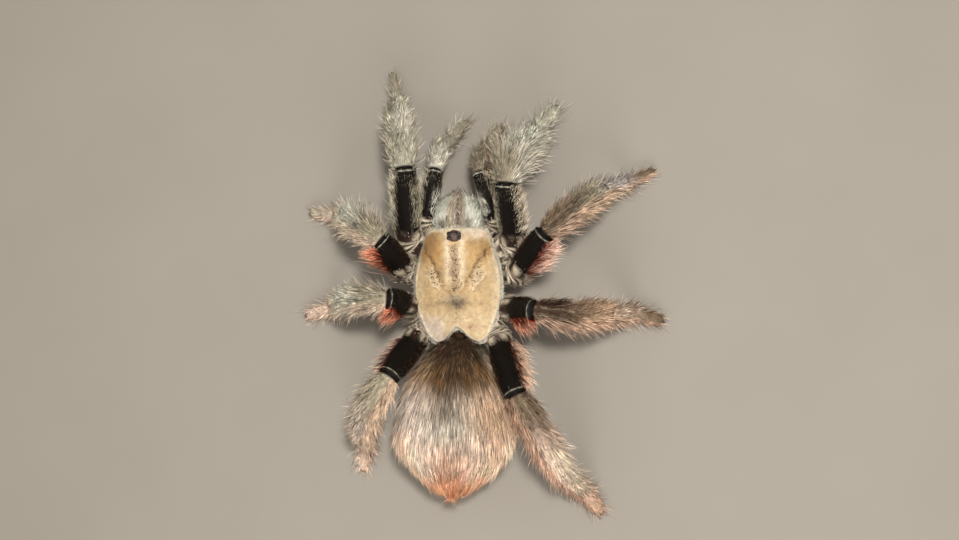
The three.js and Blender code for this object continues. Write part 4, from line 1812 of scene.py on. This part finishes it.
class Carapace:
    """The plate over the front body: a low dome with a pit, furrows that fan from it and a raised rim."""

    SECTIONS = (
        (-13.6, 5.0, 1.4),
        (-12.0, 6.9, 2.3),
        (-9.4, 8.3, 3.3),
        (-5.6, 9.6, 4.3),
        (-1.0, 10.1, 5.0),
        (3.6, 9.6, 5.6),
        (7.6, 8.4, 5.9),
        (10.6, 7.4, 5.2),
        (12.2, 6.9, 3.9),
    )
    SKIN = 0.1
    PIT = (0.0, -4.4)
    RINGS = 84
    SPOKES = 241
    # The closed underside: share of the way from the pit to the edge, and depth under the edge in mm.
    LINING = ((0.985, 0.48), (0.95, 0.8), (0.6, 0.5), (0.2, 0.4))
    SIDE_STEPS = 160
    END_STEPS = 60
    TURN_STEPS = 720
    SOFT_STEPS = 14
    NOTCH_DEPTH = 3.3
    NOTCH_WIDTH = 2.5
    MARGIN = 1.3
    LEVEL = 0.73
    GROOVE = ((3.4, 1.4), (4.6, 3.4), (5.9, 5.7), (7.5, 8.2))
    SWALE = ((0.9, -3.2), (2.2, -0.8), (3.4, 1.4))
    STRIA = ((3.5, -1.9), (5.0, -0.4), (6.7, 1.7))
    SPECKLED = ((3.6, -0.3), (4.7, 1.0), (5.4, 2.2))
    FURROWS = (
        ((1.4, -3.6), (4.6, -1.4), (8.6, 0.6)),
        ((1.4, -4.4), (4.8, -4.6), (8.6, -5.2)),
        ((1.0, -5.2), (3.2, -7.6), (6.0, -10.0)),
    )
    NODES = ("carapace",)

    def __init__(self) -> None:
        """Works out the plate's upper surface."""
        angles = np.linspace(-math.pi / 2, 3 * math.pi / 2, self.SPOKES)
        edge = self._edge(angles)
        share = np.linspace(0.0, 1.0, self.RINGS) ** 0.9
        share[0] = 0.004
        self.radius = share[:, None] * edge
        self.rim_gap = edge - self.radius
        east, north = np.cos(angles) + 0 * self.radius, np.sin(angles) + 0 * self.radius
        self.x = self.PIT[0] + self.radius * east
        self.y = self.PIT[1] + self.radius * north
        places = np.stack([self.x, self.y, self._height()], axis=-1)
        self.surface = Surface(in_model(places) * MM)
        self.x = self.x + 0.7 * (mottle(self.x, self.y, 2.6, 1) - 0.5)
        self.y = self.y + 0.7 * (mottle(self.x, self.y, 2.6, 2) - 0.5)
        self.surface.values["tint"] = self._tint()
        self.surface.values["lie"] = np.stack([self.radius * 0.1, east, north], axis=-1)
        self.surface.values["specks"] = self._specks()

    def _table(self, y: Array) -> tuple[Array, Array]:
        """Half width and rise of the plate at a place along it."""
        place, half, rise = smooth_rows(self.SECTIONS, 120).T
        return np.interp(y, place, half) - self.SKIN, np.interp(y, place, rise) - self.SKIN

    def _edge(self, angles: Array) -> Array:
        """How far the rim is from the pit.

        Args:
            angles: Ways from the pit.

        Returns:
            The distances in mm.
        """
        y = np.linspace(self.SECTIONS[-1][0] - self.SKIN, self.SECTIONS[0][0] + self.SKIN, self.SIDE_STEPS)
        half, _ = self._table(y)
        across = np.linspace(half[-1], -half[-1], self.END_STEPS)
        rear = y[-1] + self.NOTCH_DEPTH * bump_at(across, 0, self.NOTCH_WIDTH)
        front = np.linspace(-half[0], half[0], self.END_STEPS)
        bow = y[0] + 0.35 * (1 - (front / half[0]) ** 2)
        outline = np.vstack(
            [
                np.stack([half, y], axis=-1),
                np.stack([across, rear], axis=-1),
                np.stack([-half[::-1], y[::-1]], axis=-1),
                np.stack([front, bow], axis=-1),
            ]
        ) - self.PIT
        ways = np.arctan2(outline[:, 1], outline[:, 0])
        order = np.argsort(ways)
        far = np.linalg.norm(outline, axis=1)[order]
        turns = (angles + math.pi) % (2 * math.pi) - math.pi
        even = np.linspace(-math.pi, math.pi, self.TURN_STEPS + 1)[:-1]
        sampled = np.interp(even, ways[order], far, period=2 * math.pi)
        reach = self.SOFT_STEPS
        kernel = bump_at(np.arange(-reach, reach + 1), 0, 6.0)
        padded = np.concatenate([sampled[-reach:], sampled, sampled[:reach]])
        soft = np.convolve(padded, kernel / kernel.sum(), mode="valid")
        return np.interp(turns, even, soft, period=2 * math.pi)

    def _near(self, line: Sequence[tuple[float, float]], width: float) -> Array:
        """A hump of height 1 along a line and its mirror image.

        Args:
            line: Places on the line in mm.
            width: Distance over which it fades.

        Returns:
            Its height at each point.
        """
        least = np.full(self.x.shape, 1e9)
        points = np.array(line)
        for start, end in zip(points[:-1], points[1:]):
            step = end - start
            dx, dy = np.abs(self.x) - start[0], self.y - start[1]
            t = np.clip((dx * step[0] + dy * step[1]) / (step @ step), 0, 1)
            least = np.minimum(least, np.hypot(dx - t * step[0], dy - t * step[1]))
        return bump_at(least, 0, width)

    def _height(self) -> Array:
        """Works out the relief: the dome, the rolled rim, the pit and the furrows.

        Returns:
            Height over the body's level in mm.
        """
        half, rise = self._table(self.y)
        lateral = np.clip(1 - (np.abs(self.x) / np.maximum(half, 0.1)) ** 2.3, 0, 1)
        height = self.MARGIN + (rise - self.MARGIN) * lateral
        height = height - ramp(self.rim_gap, 0.9, 0.0) * np.minimum(height, 1.0) * 0.6
        height = height + 0.16 * bump_at(self.rim_gap, 0.75, 0.35)
        pit = oval(self.x, self.y - self.PIT[1], 1.5, 0.55)
        height = height - 1.0 * pit - 0.42 * self._near(self.GROOVE, 0.5) - 0.22 * self._near(self.SWALE, 0.8)
        height = height + 0.1 * self._near(self.STRIA, 0.3)
        for furrow in self.FURROWS:
            height = height - 0.2 * self._near(furrow, 0.8)
        return height

    def _tint(self) -> Array:
        """Paints the plate: golden, with cream rims, dark grooves, pale fans and a mottled line.

        Returns:
            The colour at each point.
        """
        x, y, pit = self.x, self.y, self.PIT[1]
        out = np.abs(x)
        patchy = mottle(x, y, 1.3, 3)
        slant = 0.6 * (out - 3)
        amber = ramp(out, 1.6, 3.2) * ramp(y, 1.2 + slant, 4.2 + slant) * ramp(y, 11.8, 10.2)
        cream = np.maximum(oval(x, y - 11.2, 3.4, 1.6), ramp(y, 10.5, 11.4))
        cream = np.maximum(cream, bump_at(out, 1.6, 0.6) * ramp(y, -3, 2) * 0.75)
        middle = bump_at(x, 0, 1.0) * ramp(y, -3.0, -1.0) * ramp(y, 8.4, 7.4)
        tint = painted(
            Tone.WHEAT.rgb,
            (Tone.IVORY.rgb, ramp(y, -4, -9) * 0.3 + ramp(out, 6.5, 9) * 0.4),
            (Tone.HUSK.rgb, ramp(y, -6, -9.5) * ramp(x, -1.5, -4.5) * 0.8),
            (Tone.AMBER.rgb, amber * (0.8 - 0.25 * ramp(x, -1, 1))),
            (Tone.RUSSET.rgb, amber * ramp(x, -2.5, -5.5) * ramp(y, 4.0, 8.0) * 0.6),
            (Tone.IVORY.rgb, cream * 0.85),
            (Tone.PEARL.rgb, bump_at(x, 4.8, 2.4) * bump_at(y, 10.4, 1.2) * 0.7),
            (Tone.TAUPE.rgb, middle * (0.6 + 0.3 * bump_at(y, 4.0, 3.0))),
            (Tone.SAND.rgb * 0.9, self._near(self.SPECKLED, 0.8) * 0.4),
        )
        tint = painted(
            tint * (0.88 + 0.24 * mottle(x, y, 1.9, 4) * (0.5 + patchy))[..., None],
            (Tone.CHESTNUT.rgb * 0.8, self._near(self.GROOVE, 0.25) * (0.5 + 0.5 * patchy)),
            (Tone.AMBER.rgb * 0.75, self._near(self.SWALE, 0.5) * patchy),
            # Pale lines along the raised stria: partly their own pale hair and partly a painted highlight on
            # the ridges.
            (Tone.IVORY.rgb * 1.15, self._near(self.STRIA, 0.14) * (0.4 + 0.6 * patchy)),
            *((Tone.TAUPE.rgb, self._near(furrow, 0.4) * 0.5 * patchy) for furrow in self.FURROWS),
            (Tone.TAUPE.rgb, oval(x + 1.5, y - pit + 0.1, 4.2, 0.75) * patchy * 0.8),
            # Dark olive in the pit: painted shade in the hollow.
            (Tone.OLIVE.rgb * 0.9, np.minimum(oval(x, y - pit, 2.0, 0.95) * (0.5 + patchy), 1) * 0.85),
            (Tone.ASH.rgb, bump_at(x, 0, 2.6) * bump_at(y, -3.6, 1.1) * 0.4),
            (Tone.BRICK.rgb, oval(x - 3.0, y + 9.6, 1.6, 0.7) * patchy),
            (Tone.FROST.rgb * 1.05, ramp(self.rim_gap, 1.1, 0.5) * (0.6 + 0.4 * patchy)),
        )
        return tint * self.LEVEL

    def _specks(self) -> Array:
        """Where dark speckles show: before the pit and beside the pale fans.

        Returns:
            Their share at each point.
        """
        x, y = self.x, self.y
        middle = bump_at(x, 0, 1.2) * ramp(y, -3.2, -1.5) * ramp(y, 8.8, 7.6)
        seam = bump_at(x, 0.1, 0.7) * ramp(y, -10.6, -9.6) * ramp(y, -4.4, -5.4) * 0.7
        pit = bump_at(x, 0, 2.2) * bump_at(y, self.PIT[1], 0.9) * 0.8
        grooves = self._near(self.GROOVE, 0.6) * 0.6 + self._near(self.SPECKLED, 1.0)
        return np.minimum(middle + seam + pit + grooves + 0.35 * mottle(x, y, 3.0, 9) ** 2, 1)

    def build(self) -> None:
        """Builds the plate, closed underneath."""
        top = self.surface.points
        middle = in_model(np.array([*self.PIT, 0.0])) * MM
        inner = [
            middle + (top[-1] - middle) * (share, share, 1.0) - UP * drop * MM for share, drop in self.LINING
        ]
        mesh = closed_mesh("carapace_plate", Surface(np.concatenate([top, np.array(inner)])))
        for name, value in self.surface.values.items():
            known = value[:, :-1].reshape(-1, *value.shape[2:])
            rest = np.repeat(known[-1:], len(mesh.vertices) - len(known), axis=0)
            store_values(mesh, {name: np.concatenate([known, rest])})
        mesh.materials.append(VelvetShellFinish().material())
        put_on_body(add_object("carapace_plate", mesh), self.NODES)

    def coat(self) -> Surface:
        """Dresses the plate in short hair, longer round its rim.

        Returns:
            Its surface, with its layers.
        """
        tint = self._tint()
        root = tint * 0.8
        rim = ramp(self.rim_gap, 1.1, 0.3)
        front = ramp(self.y, 8.0, 11.0)
        nap = Surface(self.surface.points)
        nap.lay("down", ramp(self.radius, 0.5, 1.2) * 0.5, 0.7 + 0.2 * rim, 8 + 10 * rim, root, tint * 1.1)
        cover, reach = rim * (0.2 + 0.7 * front), 0.8 + 1.1 * front
        nap.lay("guard", cover, reach, 14 + 10 * front, root, Tone.IVORY.rgb * 0.9)
        nap.lay("wisp", rim * 0.5, 1.2 + 0.6 * front, 24, root, Tone.PEARL.rgb)
        return nap


# ---------------- head and underside


def lathe(
    profile: Sequence[tuple[float, float]], centre: Array, axis: Array, columns: int = 25
) -> Surface:
    """A surface turned about an axis.

    Args:
        profile: Radius and height of each ring, from the bottom up, in mm.
        centre: Where height is 0, in mm in the model.
        axis: The way up.
        columns: Points in a ring, the seam's counted twice.

    Returns:
        The surface.
    """
    up = unit(np.asarray(axis, float))
    side = unit(np.cross(up, AHEAD if abs(up[1]) < 0.9 else UP))
    other = np.cross(up, side)
    turn = -np.linspace(0, 2 * math.pi, columns)
    radius, height = np.array(profile).T
    round_way = side * np.cos(turn)[:, None] + other * np.sin(turn)[:, None]
    places = centre + up * height[:, None, None] + round_way * radius[:, None, None]
    return Surface(places * MM)


def shell_piece(
    name: str, surfaces: Sequence[Surface], nodes: Sequence[str], finish: Finish
) -> None:
    """Builds a separate hard piece of one or more closed surfaces.

    Args:
        name: Its name.
        surfaces: What it is made of.
        nodes: Nodes that it stands for.
        finish: Its finish.
    """
    parts = []
    for i, surface in enumerate(surfaces):
        mesh = closed_mesh(f"{name}_{i}", surface)
        mesh.materials.append(finish.material())
        parts.append(add_object(f"{name}_{i}", mesh))
    put_on_body(joined(name, parts), nodes)


class Head:
    """The chelicerae with their fangs, and the eyes on their mound."""

    CHELICERA = (
        (10.4, 2.7, 3.4, 3.4, 2.85, 0.2),
        (13.0, 3.0, 4.2, 4.2, 3.15, 0.1),
        (16.2, 2.8, 3.9, 4.4, 2.95, -0.4),
        (19.0, 2.2, 2.5, 3.2, 2.35, -1.2),
        (20.8, 1.1, 1.1, 1.5, 1.25, -1.8),
    )
    FANG = (
        (13.0, 0.3, 0.3, 0.3, 1.2, -6.1),
        (15.2, 0.55, 0.5, 0.5, 1.5, -6.5),
        (17.2, 0.8, 0.7, 0.7, 1.9, -6.1),
        (18.9, 0.95, 0.9, 0.9, 2.1, -5.0),
    )
    COAT = 0.45
    SEAM = 0.1
    ROWS = 60
    MOUND_AT = np.array([0.0, 9.9, 5.2])
    MOUND_SIZE = np.array([1.55, 1.35, 1.35])
    EYES = {
        "front_middle": ((0.34, 0.42, 0.84), 0.3),
        "front_side": ((0.8, 0.5, 0.34), 0.32),
        "rear_middle": ((0.56, -0.2, 0.8), 0.2),
        "rear_side": ((0.84, -0.38, 0.4), 0.28),
    }
    LENS = (
        (0.3, -1.0), (1.1, -0.75), (1.28, -0.2), (1.24, 0.1), (1.12, 0.24), (1.0, 0.22), (0.97, 0.26),
        (0.9, 0.45), (0.72, 0.68), (0.45, 0.84), (0.15, 0.9),
    )
    NODES = ("chelicera_left", "chelicera_right")

    def __init__(self) -> None:
        """Works out both chelicerae and the coat on them."""
        self.chelicerae = [self._chelicera(side) for side in SIDES.values()]

    def _chelicera(self, side: int) -> Surface:
        """Works out one chelicera: a cheek of cream hair, brown underneath and speckled at its inner edge.

        Args:
            side: -1 for the left one, 1 for the right one.

        Returns:
            Its surface, with its layers.
        """
        table = [(*row[:4], row[4] - self.COAT + self.SEAM, row[5]) for row in self.CHELICERA]
        surface = body_surface(on_side(table, side), self.ROWS, self.COAT)
        outer = side * np.cos(ANGLES)[None] + np.zeros((self.ROWS, 1))
        up = np.sin(ANGLES)[None] + 0 * outer
        along = np.linspace(0, 1, self.ROWS)[:, None] + 0 * outer
        cover = ramp(along, 0.0, 0.1)
        spots = ramp(along, 0.36, 0.24) * bump_at(outer, 0.05, 0.45) * ramp(up, 0.2, 0.7)
        tips = painted(
            Tone.SAND.rgb * 0.9,
            # The left cheek's cream is a little darker than the right one's: painted shade on the side away
            # from the light.
            (Tone.CHALK.rgb * (0.93 + 0.05 * side), ramp(outer, -0.35, -0.1)),
            (Tone.PEARL.rgb, ramp(outer, -0.72, -0.9)),
            (Tone.TAUPE.rgb, ramp(along, 0.7, 1.0) * 0.5),
            (Tone.UMBER.rgb, spots * 0.8),
            (Tone.UMBER.rgb, ramp(up, 0.2, -0.6) * 0.8),
        )
        speckled = np.random.default_rng(12 + side).random(outer.shape) > 0.45
        freckled = bump_at(outer, -0.4, 0.4) * speckled
        # The skin and the hair roots are the tips made darker: partly their own darker colour and partly
        # painted shade between the hairs.
        dull = tips * 0.6
        surface.values["tint"] = dull
        surface.lay("down", cover, 0.8 + 0.3 * along, 12 + 10 * ramp(outer, 0.2, 0.9), tips * 0.8, tips)
        surface.lay(
            "guard",
            cover * (0.12 + 0.3 * freckled + 0.4 * ramp(up, 0, -0.8)),
            1.5,
            22,
            blend(dull, Tone.UMBER.rgb, freckled),
            blend(tips, Tone.CHESTNUT.rgb, freckled * 0.9),
        )
        surface.lay("wisp", cover * 0.4, 2.2, 30, dull, tips)
        return surface

    def build(self) -> None:
        """Builds the fangs, the mound and the eyes."""
        fangs = [body_surface(on_side(self.FANG, side), 24, 0.0) for side in SIDES.values()]
        shell_piece("fangs", fangs, ("fang_left", "fang_right"), HornFinish())
        finish = PlateFinish("mound_shell", grain=1500.0, contrast=3.0)
        shell_piece("eye_mound", [self._mound()], ("eye_tubercle",), finish)
        nodes = [f"eye_{place}_{label}" for place in self.EYES for label in SIDES]
        shell_piece("eyes", self._eyes(), nodes, EyeFinish())

    def _mound(self) -> Surface:
        """Works out the low mound that carries the eyes, a little lumpy.

        Returns:
            Its surface.
        """
        tilt = np.linspace(-1.3, math.pi / 2 - 0.06, 26)
        profile = [(math.cos(t), math.sin(t)) for t in tilt]
        surface = lathe(profile, np.zeros(3), UP, 49)
        way = surface.points / MM
        lumps = 1 + 0.03 * np.sin(way[..., 0] * 9) * np.sin(way[..., 1] * 11 + 1) * np.sin(way[..., 2] * 8)
        size = self.MOUND_SIZE * np.array([1.0, 1.0, 0.96])
        return Surface(in_model(way * lumps[..., None] * size + self.MOUND_AT) * MM)

    def _eyes(self) -> list[Surface]:
        """Works out each eye: a domed lens in a thin raised rim.

        Returns:
            The eyes' surfaces.
        """
        made = []
        for toward, radius in self.EYES.values():
            for side in SIDES.values():
                way = unit(np.array(toward) * (side, 1, 1))
                seat = self.MOUND_AT + way * self.MOUND_SIZE
                profile = [(r * radius, h * radius) for r, h in self.LENS]
                made.append(lathe(profile, in_model(seat), TRUNK_TURN @ unit(way / self.MOUND_SIZE)))
        return made


class Underside:
    """The shell plates under the front body."""

    STERNUM = (
        (-9.2, 2.2, 2.6, 2.6, 0, -4.1),
        (-6.0, 3.7, 3.0, 3.1, 0, -4.1),
        (0.0, 4.4, 3.0, 3.3, 0, -4.1),
        (5.0, 4.0, 3.0, 3.2, 0, -4.1),
        (8.0, 2.5, 2.8, 2.8, 0, -4.1),
    )
    LABIUM = ((8.5, 1.5, 1.0, 1.2, 0, -5.6), (9.4, 1.8, 1.2, 1.4, 0, -5.6), (10.4, 1.2, 0.9, 1.0, 0, -5.6))

    def build(self) -> None:
        """Builds the sternum and the labium."""
        sternum, labium = body_surface(self.STERNUM, 40, 0.15), body_surface(self.LABIUM, 16, 0.1)
        shell_piece("sternum_plate", [sternum], ("sternum",), PlateFinish())
        shell_piece("labium_plate", [labium], ("labium",), PlateFinish())


class Skin:
    """One skin over all the soft parts, joined without a seam."""

    def build(self, surfaces: Sequence[Surface], nodes: Sequence[str]) -> None:
        """Joins the surfaces and carries their markings over.

        Args:
            surfaces: The surfaces, each with its tint.
            nodes: Nodes that the skin stands for.
        """
        base, *others = [add_object("flesh", closed_mesh("flesh", surface)) for surface in surfaces]
        for other in others:
            union = base.modifiers.new("union", "BOOLEAN")
            union.operation = "UNION"
            union.solver = "MANIFOLD"
            union.object = other
        mesh = evaluated_mesh(base)
        for item in (base, *others):
            bpy.data.objects.remove(item)
        self._carry(mesh, surfaces)
        mesh.shade_smooth()
        mesh.materials.clear()
        mesh.materials.append(SkinFinish().material())
        mesh.name = "skin"
        put_on_body(add_object("skin", mesh), nodes)

    @staticmethod
    def _carry(mesh: bpy.types.Mesh, surfaces: Sequence[Surface]) -> None:
        """Gives each point of the mesh the tint of the nearest point of the surfaces.

        Args:
            mesh: The joined mesh.
            surfaces: The surfaces.
        """
        points = np.vstack([s.points.reshape(-1, 3) for s in surfaces])
        tints = np.vstack([s.values["tint"].reshape(-1, 3) for s in surfaces])
        tree = kdtree.KDTree(len(points))
        for i, point in enumerate(points):
            tree.insert(point, i)
        tree.balance()
        store_values(mesh, {"tint": tints[[tree.find(vertex.co)[1] for vertex in mesh.vertices]]})


# ---------------- coat pieces and studio


DOWN = BristleLayer("down", density=20.0, radius=0.082, bands=1, swirl=0.22, droop=0.5, dark=0.05, seed=3)
GUARD = BristleLayer("guard", density=9.0, radius=0.066, bands=2, swirl=0.22, droop=0.5, dark=0.07, seed=19)
WISP = BristleLayer("wisp", density=1.8, radius=0.045, bands=3, swirl=0.4, droop=0.4, dark=0.1, seed=41)


class Studio:
    """The floor, the lights and the camera."""

    FLOOR_HALF = 2.0
    TARGET = np.array([-0.6, 4.1, 0.0])
    DISTANCE = 305.0
    TILT_RIGHT = math.radians(9)
    TILT_REAR = math.radians(4)
    LENS = 50.0
    SENSOR = 36.0
    SKY = (1.0, 0.97, 0.92, 1.0)
    SKY_STRENGTH = 0.42
    # Where each light hangs and its side, in mm, and its power in watts.
    LIGHTS = {
        "key": ((90.0, 50.0, 420.0), 45.0, 2.15),
        "fill": ((-260.0, 120.0, 300.0), 300.0, 0.25),
        "rear": ((40.0, -300.0, 240.0), 200.0, 0.8),
    }

    def build(self) -> None:
        """Builds them all."""
        self._floor()
        self._lights()
        self._camera()
        bpy.context.scene.view_settings.view_transform = "Standard"

    def _floor(self) -> None:
        """A wide level floor, at the height of the feet."""
        corners = np.array([(-1, -1, 0), (1, -1, 0), (1, 1, 0), (-1, 1, 0)]) * self.FLOOR_HALF
        mesh = make_mesh("floor", corners, [(0, 1, 2, 3)])
        mesh.materials.append(FloorFinish().material())
        add_object("floor", mesh)

    def _lights(self) -> None:
        """A hard key from the upper right, softer lights from the left and the rear, and a pale sky."""
        for name, (place, size, power) in self.LIGHTS.items():
            data = bpy.data.lights.new(name, "AREA")
            data.size = size * MM
            data.energy = power
            light = bpy.data.objects.new(name, data)
            at = Vector(place) * MM
            light.matrix_world = Matrix.Translation(at) @ (-at).to_track_quat("-Z", "Y").to_matrix().to_4x4()
            bpy.context.scene.collection.objects.link(light)
        world = bpy.data.worlds.new("studio")
        world.use_nodes = True
        background = next(n for n in world.node_tree.nodes if n.type == "BACKGROUND")
        background.inputs["Color"].default_value = self.SKY
        background.inputs["Strength"].default_value = self.SKY_STRENGTH
        bpy.context.scene.world = world

    def _camera(self) -> None:
        """Sets the camera over the animal, a little to its right and rear."""
        data = bpy.data.cameras.new("camera")
        data.lens = self.LENS
        data.sensor_width = self.SENSOR
        data.clip_start = 0.01
        camera = bpy.data.objects.new("camera", data)
        turn = Matrix.Rotation(self.TILT_REAR, 4, "X") @ Matrix.Rotation(self.TILT_RIGHT, 4, "Y")
        back = turn.to_3x3() @ Vector((0, 0, 1))
        place = (Vector(self.TARGET) + back * self.DISTANCE) * MM
        camera.matrix_world = Matrix.Translation(place) @ turn
        bpy.context.scene.collection.objects.link(camera)
        bpy.context.scene.camera = camera


def main() -> None:
    """Builds the animal and the studio, and notes its size."""
    logging.basicConfig(level=logging.INFO, format="%(name)s: %(message)s")
    limbs = [Limb(plan, label) for plan in PLANS for label in SIDES]
    trunk, abdomen, carapace, head = Trunk(), Abdomen(), Carapace(), Head()

    flesh = [*trunk.surfaces(), *(limb.surface for limb in limbs), abdomen.surface, *head.chelicerae]
    nodes = [*trunk.NODES, *abdomen.NODES, *head.NODES, *(node for limb in limbs for node in limb.nodes)]
    Skin().build(flesh, nodes)
    carapace.build()
    head.build()
    Underside().build()

    coat, finish = Coat(), CoatFinish()
    layers = (DOWN, GUARD, WISP)
    sleek = (replace(DOWN, swirl=0.12), replace(GUARD, swirl=0.13), replace(WISP, swirl=0.25))
    velvet = CoatFinish("velvet_coat", 0.75, gloss=0.04)
    for label in SIDES:
        side = [limb for limb in limbs if limb.label == label]
        femora = cells([limb.femur() for limb in side])
        coat.grow(f"coat_femora_{label}", "black_coat", femora, sleek, velvet)
    coat.grow("coat_coxae", "pale_coat", cells([limb.coxa() for limb in limbs]), layers, finish)
    for limb in limbs:
        name = f"coat_{limb.plan.name}_{limb.label}"
        coat.grow(name, "grey_coat", [limb.outer()], layers, finish)
    long_layers = (
        replace(DOWN, density=12.0, radius=0.09, swirl=0.15),
        replace(GUARD, density=7.5, radius=0.068, swirl=0.12),
        replace(WISP, density=1.2, swirl=0.2),
    )
    for name, half in zip(("front", "rear"), abdomen.coat()):
        coat.grow(f"coat_abdomen_{name}", "abdomen_coat", [half], long_layers, finish)
    coat.grow("coat_cheeks", "cheek_coat", cells(head.chelicerae), layers, finish)
    coat.grow("coat_carapace", "carapace", [carapace.coat()], layers, finish)

    Studio().build()


if __name__ == "__main__":
    main()
